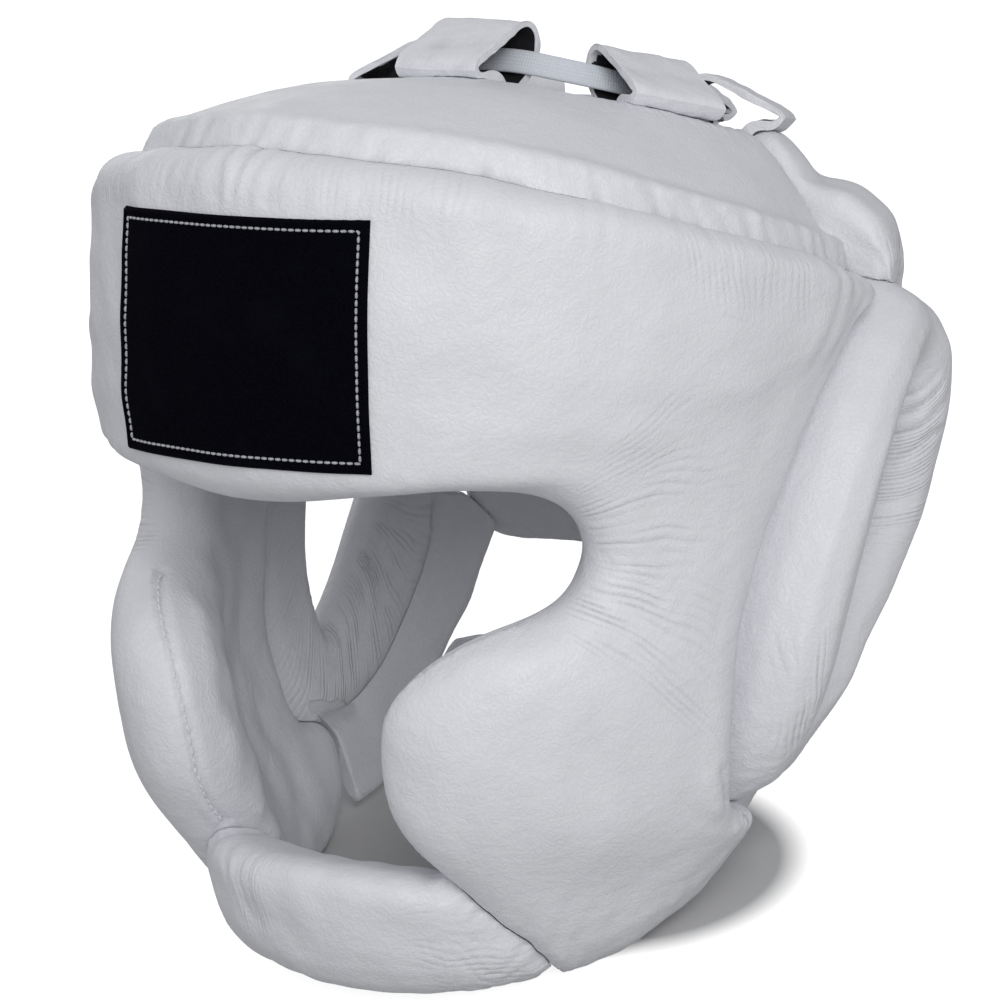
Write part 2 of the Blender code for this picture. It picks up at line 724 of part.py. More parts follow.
# Middle line of a leather loop, seen along the crown edge: inward and up from the pad's edge.
LOOP = (
    # inward, up: of TAB_WIDTH
    (-0.133, 0.117),
    (-0.087, 0.175),
    (0.16, 0.293),
    (0.44, 0.44),
    (0.66, 0.53),
    (0.82, 0.44),
    (0.84, 0.22),
    (0.70, 0.01),
    (0.50, -0.12),
    (0.34, -0.13),
    (0.26, -0.03),
    (0.16, 0.05),
    (0.047, 0.063),
    (-0.073, 0.060),
)


def make_tab(name, angle):
    rows = np.array(LOOP) * TAB_WIDTH
    count = 19
    closed = np.vstack([rows[-1:], rows, rows[:2]])
    path = []
    for place in np.linspace(0.0, len(rows), count, endpoint=False):
        k = int(place)
        part = place - k
        p0, p1, p2, p3 = closed[k], closed[k + 1], closed[k + 2], closed[(k + 3) % len(closed)]
        path.append(
            p1
            + 0.5 * part * (p2 - p0)
            + part ** 2 * (p0 - 2.5 * p1 + 2.0 * p2 - 0.5 * p3)
            + part ** 3 * (1.5 * (p1 - p2) + 0.5 * (p3 - p0))
        )
    path = np.array(path)
    ahead = np.roll(path, -1, axis=0) - np.roll(path, 1, axis=0)
    ahead /= np.linalg.norm(ahead, axis=1)[:, None]
    out = np.stack([-ahead[:, 1], ahead[:, 0]], axis=1)
    turn = math.radians(angle)
    inward = np.array([-math.sin(turn), math.cos(turn), 0.0])
    along = np.array([math.cos(turn), math.sin(turn), 0.0])
    edge = crown_place(angle, CROWN_RADIUS + 0.006, crown_height(angle))
    climb = crown_height(angle + 5.0) - crown_height(angle - 5.0)
    tilt = climb / (2.0 * (CROWN_RADIUS + 0.006) * math.radians(5.0))
    along = along + np.array([0.0, 0.0, tilt])
    along /= np.linalg.norm(along)
    rings = []
    for spot, normal in zip(path, out):
        ring = []
        for side, lift in ((-1, -1), (1, -1), (1, 1), (-1, 1)):
            flat = spot + normal * lift * 0.5 * LEATHER
            base = edge + inward * flat[0] + np.array([0.0, 0.0, 1.0]) * flat[1]
            ring.append(base + along * side * 0.5 * TAB_WIDTH)
        rings.append(ring)
    rings_to_mesh("crown_tab_" + name, rings, True, WHITE)


def make_lace():
    corners = []
    radius = CROWN_RADIUS + 0.006 - 0.622 * TAB_WIDTH
    for _, angle in sorted(TABS, key=lambda row: row[1] % 360.0):
        turn = math.radians(angle)
        along = np.array([math.cos(turn), math.sin(turn), 0.0])
        for side in (-1.0, 1.0):
            place = crown_place(angle, radius, 0.0) + along * side * 0.42 * TAB_WIDTH
            place[2] = crown_height(crown_angle_of(place)) + 0.18 * TAB_WIDTH
            corners.append(place)
    corners = np.array(corners)
    points = []
    for k in range(len(corners)):
        a, b = corners[k], corners[(k + 1) % len(corners)]
        for part in (0.12, 0.5, 0.88):
            points.append(a + (b - a) * part)
    points = np.array(points)
    ahead = np.roll(points, -1, axis=0) - np.roll(points, 1, axis=0)
    rings = []
    for spot, way in zip(points, ahead):
        way = way / np.linalg.norm(way)
        outward = np.cross(way, (0.0, 0.0, 1.0))
        outward /= np.linalg.norm(outward)
        rise = np.array([0.0, 0.0, 1.0]) * 0.85 - outward * 0.53
        flat = np.cross(way, rise)
        flat /= np.linalg.norm(flat)
        rise = np.cross(flat, way)
        ring = []
        for up, side in ((-1, -1), (1, -1), (1, 1), (-1, 1)):
            ring.append(spot + rise * up * 0.5 * LACE_WIDTH + flat * side * 0.5 * LACE_THICK)
        rings.append(ring)
    rings_to_mesh("crown_lace", rings, True, (0.86, 0.87, 0.90), 0.7)


def centre_of(things):
    """Centre of the solids' volume."""
    total = 0.0
    centre = Vector((0.0, 0.0, 0.0))
    for thing in things:
        for polygon in thing.data.polygons:
            corners = [thing.data.vertices[v].co for v in polygon.vertices]
            for k in range(1, len(corners) - 1):
                volume = corners[0].dot(corners[k].cross(corners[k + 1]))
                total += volume
                centre += volume * 0.25 * (corners[0] + corners[k] + corners[k + 1])
    return centre / total


def resting_pitch(things):
    """Angle of tipping back at which it stands on a place before and one behind its centre."""
    centre = centre_of(things)
    places = np.array([vertex.co for thing in things for vertex in thing.data.vertices])
    low, high = 0.0, math.radians(35.0)
    for _ in range(40):
        pitch = 0.5 * (low + high)
        back = places[:, 1] * math.cos(pitch) + places[:, 2] * math.sin(pitch)
        rise = places[:, 2] * math.cos(pitch) - places[:, 1] * math.sin(pitch)
        middle = centre.y * math.cos(pitch) + centre.z * math.sin(pitch)
        if rise[back > middle].min() > rise[back <= middle].min():
            low = pitch
        else:
            high = pitch
    return 0.5 * (low + high), float(rise.min())


def press_flat(thing, up, floor):
    """Cut away what lies under the floor, so the piece stands on flats."""
    if min(vertex.co.dot(up) for vertex in thing.data.vertices) > floor - 0.0002:
        return
    mesh = bmesh.new()
    mesh.from_mesh(thing.data)
    parts = mesh.verts[:] + mesh.edges[:] + mesh.faces[:]
    cut = bmesh.ops.bisect_plane(
        mesh, geom=parts, dist=1e-7, plane_co=up * floor, plane_no=up, clear_inner=True
    )
    edges = [part for part in cut["geom_cut"] if isinstance(part, bmesh.types.BMEdge)]
    bmesh.ops.holes_fill(mesh, edges=edges, sides=0)
    bmesh.ops.recalc_face_normals(mesh, faces=mesh.faces[:])
    mesh.to_mesh(thing.data)
    mesh.free()


def stand_it():
    """Tip the worn guard back to where it rests, on z = 0 with its middle at the origin."""
    things = [thing for thing in bpy.data.objects if thing.type == "MESH"]
    pitch, lowest = resting_pitch(things)
    up = Vector((0.0, -math.sin(pitch), math.cos(pitch)))
    floor = lowest + PRESSED
    for thing in things:
        press_flat(thing, up, floor)
    places = np.array([vertex.co for thing in things for vertex in thing.data.vertices])
    back = places[:, 1] * math.cos(pitch) + places[:, 2] * math.sin(pitch)
    across = places[:, 0]
    stand.rotation_euler = (-pitch, 0.0, 0.0)
    stand.location = (-0.5 * (across.min() + across.max()), -0.5 * (back.min() + back.max()), -floor)


stand = bpy.data.objects.new("stand", None)
WHITE = (0.80, 0.81, 0.84)


def main():
    for thing in list(bpy.data.objects):
        if thing is not stand:
            bpy.data.objects.remove(thing, do_unlink=True)
    bpy.context.scene.collection.objects.link(stand)
    make_face_shell()
    make_chin_pad()
    make_top_pad()
    make_back_pad()
    for side in (1.0, -1.0):
        make_ear_guard(side)
        make_ear_panel(side)
    make_neck_strap()
    make_patch()
    for name, angle in TABS:
        make_tab(name, angle)
    make_lace()
    stand_it()


main()
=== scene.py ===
import math

import bmesh
import bpy
import numpy as np
from mathutils import Matrix, Vector
from mathutils.bvhtree import BVHTree


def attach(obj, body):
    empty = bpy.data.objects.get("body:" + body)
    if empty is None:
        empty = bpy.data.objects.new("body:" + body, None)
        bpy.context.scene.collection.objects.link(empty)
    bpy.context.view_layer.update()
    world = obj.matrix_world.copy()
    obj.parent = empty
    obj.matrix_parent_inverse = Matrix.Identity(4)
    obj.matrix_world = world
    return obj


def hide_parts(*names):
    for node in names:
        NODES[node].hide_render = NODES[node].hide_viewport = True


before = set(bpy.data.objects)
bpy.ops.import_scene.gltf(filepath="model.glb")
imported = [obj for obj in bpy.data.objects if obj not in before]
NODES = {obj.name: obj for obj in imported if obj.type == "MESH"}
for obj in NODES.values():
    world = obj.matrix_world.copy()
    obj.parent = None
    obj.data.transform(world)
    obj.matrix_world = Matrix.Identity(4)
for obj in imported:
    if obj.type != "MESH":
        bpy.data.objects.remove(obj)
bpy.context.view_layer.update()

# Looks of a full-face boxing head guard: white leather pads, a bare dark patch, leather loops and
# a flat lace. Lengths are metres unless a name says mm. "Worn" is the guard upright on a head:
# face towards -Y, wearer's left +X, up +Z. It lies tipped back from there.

PITCH = math.radians(19.4708)
SHIFT = np.array([0.0, -0.05071, -0.02499])
HEIGHT = 0.254
HALF_WIDTH = 0.085
FRONT = 0.103
BACK = 0.097
CROWN_RADIUS = 0.056
CROWN_SETBACK = 0.032
CROWN_HEIGHT = 0.266
EAR_LENGTH = 0.078
EAR_WIDTH = 0.037
EAR_ARC = 0.100
EAR_ANGLE = 107.0
EAR_HEIGHT = 0.133
EAR_TILT = 20.0
TAB_WIDTH = 0.030
TAB_ANGLES = (0.0, 65.0, 117.0, 180.0, -117.0, -65.0)
LACE_WIDTH = 0.008
LACE_THICK = 0.0016
MM_PER_DEGREE = 2.08

# Hollow and outer face by height: height of HEIGHT, half widths of HALF_WIDTH, fronts of FRONT,
# backs of BACK.
BODY = (
    # height, in_side, in_front, in_back, out_side, out_front, out_back
    (-0.04, 0.55, 0.56, 0.58, 0.92, 0.90, 0.84),
    (0.00, 0.59, 0.60, 0.62, 0.95, 0.93, 0.88),
    (0.08, 0.67, 0.68, 0.68, 1.01, 0.99, 0.96),
    (0.16, 0.75, 0.76, 0.74, 1.10, 1.06, 1.03),
    (0.24, 0.85, 0.83, 0.81, 1.24, 1.18, 1.10),
    (0.32, 0.92, 0.89, 0.87, 1.30, 1.23, 1.17),
    (0.40, 0.95, 0.93, 0.91, 1.32, 1.26, 1.21),
    (0.51, 0.975, 0.96, 0.96, 1.33, 1.27, 1.26),
    (0.63, 0.995, 0.99, 0.99, 1.35, 1.28, 1.30),
    (0.75, 1.00, 1.00, 1.00, 1.365, 1.30, 1.31),
    (0.90, 0.975, 0.98, 0.97, 1.355, 1.29, 1.28),
    (1.02, 0.91, 0.91, 0.91, 1.33, 1.26, 1.24),
)

# Seam between the brow and the top pad.
GROOVE = (
    # angle, height of HEIGHT
    (0.0, 0.988),
    (34.0, 0.966),
    (62.0, 0.918),
    (88.0, 0.864),
    (105.0, 0.836),
    (112.0, 0.825),
    (125.0, 0.815),
)


def smooth_rows(rows, count):
    """Rows of a table passed through by smooth curves, as count rows evenly along it."""
    rows = np.array(rows, float)
    place = np.linspace(0.0, len(rows) - 1.0, count)
    first = np.clip(np.floor(place).astype(int), 0, len(rows) - 2)
    part = (place - first)[:, None]
    before = rows[np.maximum(first - 1, 0)]
    here = rows[first]
    there = rows[first + 1]
    after = rows[np.minimum(first + 2, len(rows) - 1)]
    return (
        here
        + 0.5 * part * (there - before)
        + part ** 2 * (before - 2.5 * here + 2.0 * there - 0.5 * after)
        + part ** 3 * (1.5 * (here - there) + 0.5 * (after - before))
    )


BODY_FINE = smooth_rows(BODY, 144)
GROOVE_FINE = smooth_rows(GROOVE, 120)


def to_worn(places):
    moved = np.asarray(places, float) - SHIFT
    cosine, sine = math.cos(PITCH), math.sin(PITCH)
    return np.stack(
        [
            moved[..., 0],
            moved[..., 1] * cosine - moved[..., 2] * sine,
            moved[..., 1] * sine + moved[..., 2] * cosine,
        ],
        axis=-1,
    )


def turned_to_rest(ways):
    ways = np.asarray(ways, float)
    cosine, sine = math.cos(PITCH), math.sin(PITCH)
    return np.stack(
        [
            ways[..., 0],
            ways[..., 1] * cosine + ways[..., 2] * sine,
            ways[..., 2] * cosine - ways[..., 1] * sine,
        ],
        axis=-1,
    )


def to_rest(places):
    return turned_to_rest(places) + SHIFT


def body_at(height):
    """Half width, front and back of the hollow and of the outer face at heights."""
    share = np.asarray(height) / HEIGHT
    sizes = (HALF_WIDTH, FRONT, BACK) * 2
    return [np.interp(share, BODY_FINE[:, 0], BODY_FINE[:, k + 1]) * sizes[k] for k in range(6)]


def wall(angle, height, depth):
    """Worn places of the padding: depth 0 on the hollow, 1 on the outer face."""
    in_side, in_front, in_back, out_side, out_front, out_back = body_at(height)
    turn = np.radians(angle)
    ahead = np.cos(turn)
    in_length = np.where(ahead > 0.0, in_front, in_back)
    out_length = np.where(ahead > 0.0, out_front, out_back)
    side = in_side + depth * (out_side - in_side)
    length = in_length + depth * (out_length - in_length)
    return np.stack(np.broadcast_arrays(side * np.sin(turn), -length * ahead, height), axis=-1)


def wall_coords(worn):
    """Angle in degrees and depth of worn places."""
    in_side, in_front, in_back, out_side, out_front, out_back = body_at(worn[:, 2])
    ahead = -worn[:, 1]
    in_length = np.where(ahead > 0.0, in_front, in_back)
    out_length = np.where(ahead > 0.0, out_front, out_back)
    depth = np.full(len(worn), 0.5)
    for _ in range(8):
        side = in_side + depth * (out_side - in_side)
        length = in_length + depth * (out_length - in_length)
        turn = np.arctan2(worn[:, 0] / side, ahead / length)
        across = (out_side - in_side) * np.sin(turn)
        along = (out_length - in_length) * np.cos(turn)
        reach = (worn[:, 0] - in_side * np.sin(turn)) * across + (ahead - in_length * np.cos(turn)) * along
        depth = np.clip(reach / (across ** 2 + along ** 2), -1.0, 3.0)
    return np.degrees(turn), depth


def groove_height(angle):
    return np.interp(np.abs(angle), GROOVE_FINE[:, 0], GROOVE_FINE[:, 1]) * HEIGHT


def ear_turn(angle, height):
    """Turn in degrees round the ear outline (0 top, 90 rear) and reach (1 is the outline)."""
    side = np.radians(np.abs(angle) - EAR_ANGLE) * EAR_ARC
    rise = height - EAR_HEIGHT
    lean = math.radians(EAR_TILT)
    across = (side * math.cos(lean) - rise * math.sin(lean)) / EAR_WIDTH
    along = (side * math.sin(lean) + rise * math.cos(lean)) / EAR_LENGTH
    return np.degrees(np.arctan2(across, along)) % 360.0, np.hypot(across, along)


def ramp(value, low, high):
    """0 below low and 1 above high, smooth between; falls instead where high is below low."""
    part = np.clip((np.asarray(value, float) - low) / (high - low), 0.0, 1.0)
    return part * part * (3.0 - 2.0 * part)


def window(value, start, full, late, end):
    return ramp(value, start, full) * ramp(value, end, late)


def waves(places, size, seed):
    """Smooth noise of about -1 to 1 with bumps of a size, at places in the same unit."""
    picker = np.random.default_rng(seed)
    total = np.zeros(len(places))
    for _ in range(14):
        way = picker.normal(size=places.shape[1])
        way *= picker.uniform(0.55, 1.35) * 2.0 * math.pi / size / np.linalg.norm(way)
        total += np.sin(places @ way + picker.uniform(0.0, 2.0 * math.pi))
    return total / 3.7


def sharp(phase):
    """Rounded ridges with narrow valleys once in a phase of 1: from -0.64 in a valley to 0.36."""
    return np.abs(np.sin(np.pi * phase)) ** 0.8 - 0.68


def points_of(mesh):
    flat = np.empty(3 * len(mesh.vertices))
    mesh.vertices.foreach_get("co", flat)
    return flat.reshape(-1, 3)


def set_points(mesh, places):
    mesh.vertices.foreach_set("co", np.ascontiguousarray(places, dtype=float).ravel())
    mesh.update()


def normals_of(mesh):
    flat = np.empty(3 * len(mesh.vertices))
    mesh.vertex_normals.foreach_get("vector", flat)
    return flat.reshape(-1, 3)


def edges_of(mesh):
    flat = np.empty(2 * len(mesh.edges), dtype=np.int32)
    mesh.edges.foreach_get("vertices", flat)
    return flat.reshape(-1, 2)


def neighbour_mean(values, ends):
    flat = values.reshape(len(values), -1)
    count = np.bincount(ends.ravel(), minlength=len(flat)).astype(float)
    out = np.empty_like(flat, dtype=float)
    for k in range(flat.shape[1]):
        total = np.bincount(ends[:, 0], weights=flat[ends[:, 1], k], minlength=len(flat))
        total += np.bincount(ends[:, 1], weights=flat[ends[:, 0], k], minlength=len(flat))
        out[:, k] = total / np.maximum(count, 1.0)
    return out.reshape(values.shape)


def evened(values, ends, rounds, share=0.5):
    for _ in range(rounds):
        values = values + share * (neighbour_mean(values, ends) - values)
    return values


def applied(thing):
    """The object's mesh with its modifiers in it."""
    graph = bpy.context.evaluated_depsgraph_get()
    mesh = bpy.data.meshes.new_from_object(thing.evaluated_get(graph))
    thing.modifiers.clear()
    old = thing.data
    thing.data = mesh
    bpy.data.meshes.remove(old)


def copy_of(node, name):
    """A welded copy of a solid, with its triangles joined to quads."""
    part = bmesh.new()
    part.from_mesh(NODES[node].data)
    bmesh.ops.remove_doubles(part, verts=part.verts[:], dist=2e-6)
    bmesh.ops.join_triangles(
        part,
        faces=part.faces[:],
        angle_face_threshold=math.radians(40.0),
        angle_shape_threshold=math.radians(75.0),
    )
    return new_thing(name, part)


def new_thing(name, part):
    mesh = bpy.data.meshes.new(name)
    part.to_mesh(mesh)
    part.free()
    thing = bpy.data.objects.new(name, mesh)
    bpy.context.scene.collection.objects.link(thing)
    return thing


def swell(thing, cap):
    """Air pressure inside the cover, run as cloth; no point moves further than cap."""
    scene = bpy.context.scene
    start = points_of(thing.data)
    cloth = thing.modifiers.new("air", "CLOTH")
    cloth.settings.quality = 3
    cloth.settings.use_pressure = True
    cloth.settings.uniform_pressure_force = 4.0
    cloth.settings.effector_weights.gravity = 0.0
    cloth.point_cache.frame_start = 1
    cloth.point_cache.frame_end = 20
    for number in range(1, 21):
        scene.frame_set(number)
    graph = bpy.context.evaluated_depsgraph_get()
    shown = thing.evaluated_get(graph)
    mesh = shown.to_mesh()
    move = points_of(mesh) - start
    shown.to_mesh_clear()
    thing.modifiers.clear()
    scene.frame_set(1)
    size = np.linalg.norm(move, axis=1)
    move *= (cap * np.tanh(size / cap) / np.maximum(size, 1e-9))[:, None]
    move = evened(move, edges_of(thing.data), 3)
    set_points(thing.data, start + move)


def regrow(thing, node, rounds):
    """Brings a smoothed mesh back out to its solid, all but the sharp places."""
    tree = tree_of(NODES[node].data)
    ends = edges_of(thing.data)
    for _ in range(2):
        places = points_of(thing.data)
        move = np.array([tuple(tree.find_nearest(Vector(place))[0]) for place in places]) - places
        set_points(thing.data, places + evened(move, ends, rounds))


def back_to_size(thing, node):
    """Brings a swollen cover back onto its solid, all but the small bulges and hollows."""
    tree = tree_of(NODES[node].data)
    places = points_of(thing.data)
    short = np.empty(len(places))
    for k, place in enumerate(places):
        spot, normal, _, _ = tree.find_nearest(Vector(place))
        short[k] = (spot - Vector(place)).dot(normal)
    short = evened(short, edges_of(thing.data), 24)
    set_points(thing.data, places + short[:, None] * normals_of(thing.data))


def padded_mesh(node, name, voxel, cap):
    """A pad's solid as an even, rounded, swollen quad mesh."""
    thing = copy_of(node, name)
    rounder = thing.modifiers.new("rounder", "SUBSURF")
    rounder.levels = 1
    applied(thing)
    even = thing.modifiers.new("even", "REMESH")
    even.mode = "VOXEL"
    even.voxel_size = voxel
    applied(thing)
    ends = edges_of(thing.data)
    places = points_of(thing.data)
    for _ in range(3):
        places = evened(places, ends, 1, 0.6)
        places = evened(places, ends, 1, -0.55)
    set_points(thing.data, evened(places, ends, 1, 0.5))
    regrow(thing, node, 4)
    set_points(thing.data, points_of(thing.data) - 0.45 * cap * normals_of(thing.data))
    swell(thing, cap)
    back_to_size(thing, node)
    finer = thing.modifiers.new("finer", "SUBSURF")
    finer.levels = 1
    applied(thing)
    return thing


def tree_of(mesh):
    part = bmesh.new()
    part.from_mesh(mesh)
    bmesh.ops.triangulate(part, faces=part.faces[:])
    tree = BVHTree.FromBMesh(part)
    part.free()
    return tree


MADE = {}


def stay_clear(thing, nodes, gap=0.00025, reach=0.004, rounds=2):
    """Draws a piece's points out of the pieces beside it, as they are so far."""
    trees = [MADE[node] if node in MADE else tree_of(NODES[node].data) for node in nodes]
    ends = edges_of(thing.data)
    for _ in range(rounds):
        places = points_of(thing.data)
        move = np.zeros_like(places)
        for tree in trees:
            for k, place in enumerate(places):
                spot, normal, _, _ = tree.find_nearest(Vector(place), reach)
                if spot is None:
                    continue
                over = gap - (Vector(place) - spot).dot(normal)
                if over > 0.0:
                    move[k] += np.array(normal) * over
        if not move.any():
            return
        eased = evened(move, ends, 2)
        bigger = np.linalg.norm(eased, axis=1) > np.linalg.norm(move, axis=1)
        set_points(thing.data, places + np.where(bigger[:, None], eased, move))


def drawn_to(thing, nodes, reach, gap=0.0001, chosen=None):
    """Brings a piece's points that lie close beside other pieces right up to them."""
    ends = edges_of(thing.data)
    places = points_of(thing.data)
    move = np.zeros_like(places)
    nearest = np.full(len(places), reach)
    for node in nodes:
        tree = MADE[node] if node in MADE else tree_of(NODES[node].data)
        for k, place in enumerate(places):
            if chosen is not None and chosen[k] < 0.01:
                continue
            spot, normal, _, away = tree.find_nearest(Vector(place), nearest[k])
            if spot is None or (Vector(place) - spot).dot(normal) < 0.0:
                continue
            nearest[k] = away
            share = max(0.0, 1.0 - gap / max(away, gap)) * float(ramp(away, reach, 0.45 * reach))
            move[k] = np.array(spot - Vector(place)) * share
    if chosen is not None:
        move *= chosen[:, None]
    set_points(thing.data, places + evened(move, ends, 2))


def path_distance(spots, path):
    """Distance of flat spots to a path, and how far along it the nearest place is, 0 to 1."""
    path = np.array(path, float)
    steps = np.linalg.norm(np.diff(path, axis=0), axis=1)
    total = steps.sum()
    best = np.full(len(spots), 1e9)
    share = np.zeros(len(spots))
    gone = 0.0
    for a, b, step in zip(path[:-1], path[1:], steps):
        part = np.clip(((spots - a) @ (b - a)) / step ** 2, 0.0, 1.0)
        away = np.linalg.norm(spots - a - part[:, None] * (b - a), axis=1)
        nearer = away < best
        best = np.where(nearer, away, best)
        share = np.where(nearer, (gone + part * step) / total, share)
        gone += step
    return best, share


def folds(angle, height, rows):
    """Rises in metres from rows of (half width mm, rise mm, path of (degrees, mm) places)."""
    spots = np.stack([angle * MM_PER_DEGREE, height * 1000.0], axis=1)
    total = np.zeros(len(spots))
    for wide, rise, path in rows:
        flat = [(a * MM_PER_DEGREE, h) for a, h in path]
        away, share = path_distance(spots, flat)
        fade = np.sqrt(np.clip(window(share, -0.02, 0.22, 0.78, 1.02), 0.0, 1.0))
        total += rise * fade * np.exp(-((away / wide) ** 2))
    return total * 0.001


# Folds of the brow: (half width mm, rise mm, path of (degrees, mm) places).
BROW_FOLDS = (
    (1.7, 0.95, ((1.6, 254.6), (2.1, 250.6), (3.4, 242.7), (3.3, 234.1))),
    (1.7, 0.85, ((8.2, 254.3), (6.4, 251.0), (5.4, 242.9), (5.0, 234.3))),
    (1.5, 0.45, ((9.8, 251.2), (8.6, 245.8), (7.9, 234.5))),
    (1.2, -0.55, ((4.8, 253.0), (4.4, 247.0), (4.3, 240.0), (4.2, 234.5))),
    (2.6, -0.45, ((11.5, 252.0), (10.4, 244.0), (9.9, 235.0))),
    (2.6, -0.45, ((0.0, 254.0), (0.4, 246.0), (1.3, 236.0))),
)
BROW_END = ((88.0, 224.0), (91.3, 217.0), (92.3, 210.5), (91.6, 203.0), (89.4, 194.0), (86.5, 185.0))
SIDE_FOLDS = (
    (2.2, -0.70, BROW_END),
    (3.4, 0.30, tuple((a - 2.8, h - 0.5) for a, h in BROW_END)),
    (3.0, 0.40, tuple((a + 3.1, h + 0.5) for a, h in BROW_END)),
    (2.0, -0.50, ((96.5, 217.0), (100.5, 212.0), (101.8, 207.0), (99.5, 201.0), (96.5, 195.0))),
    (1.3, -1.20, ((72.7, 77.7), (74.4, 70.0), (76.5, 62.3))),
    (2.6, 0.60, ((70.0, 77.0), (71.8, 69.0), (73.8, 61.5))),
    (2.0, -0.40, ((66.0, 71.0), (70.0, 63.0), (75.0, 57.0))),
)


def shape_face(worn, angle, depth):
    """Extra height of the face shell's cover, in metres."""
    height = worn[:, 2]
    mm = height * 1000.0
    side = np.abs(angle)
    outer = ramp(depth, 0.45, 0.75)
    inner = ramp(depth, 0.30, 0.12)
    flat = np.stack([angle * MM_PER_DEGREE, mm], axis=1)
    rise = folds(angle, height, BROW_FOLDS) * outer
    rise += folds(side, height, SIDE_FOLDS) * outer

    fan = (side - 50.0) * MM_PER_DEGREE
    slope = (mm - 137.0) / (fan + 26.0)
    spread = waves(flat, 26.0, 4) * 0.75 + waves(flat, 9.0, 5) * 0.22
    zone = window(fan, 1.0, 9.0, 30.0, 66.0) * window(slope, -0.78, -0.40, 0.30, 0.62)
    temple = sharp(slope * 7.6 + spread) + 0.45 * sharp(slope * 14.3 + 1.7 * spread + 0.3)
    rise += 0.00024 * temple * zone * outer
    brow_end = np.interp(mm, [h for _, h in BROW_END[::-1]], [a for a, _ in BROW_END[::-1]])
    rise -= 0.0013 * ramp(side - brow_end, 0.0, 5.0) * window(mm, 186.0, 202.0, 300.0, 320.0) * outer

    below = (groove_height(angle) - height) * 1000.0
    lines = sharp(angle * 0.62 + 0.5 * waves(flat, 22.0, 6))
    beside_patch = window(angle, 10.0, 13.0, 24.0, 30.0) * window(below, 1.0, 5.0, 15.0, 24.0)
    rise += 0.00022 * lines * beside_patch * outer
    strength = 0.5 + 0.5 * waves(flat[:, :1], 40.0, 7)
    ripple = waves(flat * (1.0, 0.25), 6.0, 8)
    rise += 0.00022 * ripple * np.clip(strength, 0.0, 1.0) * window(below, -4.0, 2.0, 7.0, 20.0) * outer

    turn, reach = ear_turn(angle, height)
    beside = window(reach, 0.99, 1.04, 1.08, 1.28)
    gathers = sharp(turn / 5.2 + 0.6 * waves(flat, 18.0, 9))
    strong = window(turn, 176.0, 196.0, 236.0, 262.0) + 0.35 * window(turn, 255.0, 275.0, 330.0, 352.0)
    rise += 0.00065 * gathers * strong * beside * outer

    lower = window(mm, 4.0, 14.0, 30.0, 52.0)
    rise += 0.00022 * waves(flat * (1.0, 0.35), 9.0, 10) * lower * (0.25 + 0.75 * outer)
    rise += 0.00035 * waves(flat, 34.0, 11) * outer
    rise += 0.00045 * waves(flat, 24.0, 12) * inner
    creases = sharp(waves(flat * (0.55, 1.0), 30.0, 13) * 1.4)
    rise += 0.00016 * creases * inner * window(mm, 40.0, 60.0, 150.0, 180.0)
    for sign in (1.0, -1.0):
        away = line_distance(worn, rim_line(sign))
        beside = line_distance(worn, rim_line(sign, 0.055))
        rise += 0.00035 * np.exp(-((away / 0.0075) ** 2)) - 0.00150 * np.exp(-((away / 0.0016) ** 2))
        rise += 0.00105 * np.exp(-((beside / 0.0016) ** 2))
    return rise


def fill_brow_groove(worn, angle, depth):
    """Depths of the face shell with the seam to the top pad brought out near the surface."""
    below = groove_height(angle) - worn[:, 2]
    weight = ramp(below, 0.016, 0.0085) * ramp(np.abs(angle), 128.0, 112.0)
    weight *= ramp(worn[:, 2], 0.185, 0.200)
    seam = 0.66
    filled = np.where(depth < 0.34, depth * seam / 0.34, seam + (depth - 0.34) * (1.0 - seam) / 0.66)
    full = depth + weight * (filled - depth)
    lift = np.clip(below - 0.0002, 0.0, 0.0022) * ramp(below, 0.0050, 0.0016)
    lift *= window(full, 0.20, 0.35, 0.66, 0.80)
    return full, lift * ramp(np.abs(angle), 118.0, 106.0) * ramp(worn[:, 2], 0.185, 0.200)


def fill_top_groove(worn, angle, depth):
    above = worn[:, 2] - groove_height(angle)
    weight = ramp(above, 0.0070, 0.0025) * ramp(np.abs(angle), 122.0, 104.0)
    full = depth + weight * np.clip(0.62 - depth, 0.0, 0.26) * ramp(depth, 0.02, 0.30)
    drop = -np.clip(above - 0.0002, 0.0, 0.0022) * ramp(above, 0.0050, 0.0016) * ramp(full, 0.20, 0.40)
    return full, drop * ramp(np.abs(angle), 118.0, 104.0)


def shape_top(worn, angle, depth):
    flat = np.stack([angle * MM_PER_DEGREE, worn[:, 2] * 1000.0], axis=1)
    above = (worn[:, 2] - groove_height(angle)) * 1000.0
    ripple = waves(flat * (1.0, 0.3), 7.0, 20)
    rise = 0.00020 * ripple * window(above, -3.0, 1.0, 5.0, 12.0)
    round_mm = np.hypot(worn[:, 0], worn[:, 1] - CROWN_SETBACK) * 1000.0
    crown = np.degrees(np.arctan2(worn[:, 0], CROWN_SETBACK - worn[:, 1]))
    pucker = sharp(crown / 4.6 + 0.4 * waves(worn[:, :2] * 1000.0, 30.0, 21))
    rise += 0.00022 * pucker * window(round_mm, 54.0, 58.0, 64.0, 74.0) * ramp(worn[:, 2], 0.20, 0.22)
    rise += 0.00030 * waves(worn * 1000.0, 38.0, 22)
    return rise


def fill_back_groove(worn, angle, depth):
    """Depths of the back pad with its corner above the ear guard filled down to it."""
    turn, reach = ear_turn(angle, worn[:, 2])
    weight = ramp(np.cos(np.radians(turn)), 0.30, 0.75) * ramp(reach, 1.26, 1.08)
    full = depth + weight * np.clip(0.95 - depth, 0.0, 0.35) * ramp(depth, 0.10, 0.45)
    return full, -0.0040 * weight * ramp(full, 0.30, 0.60)


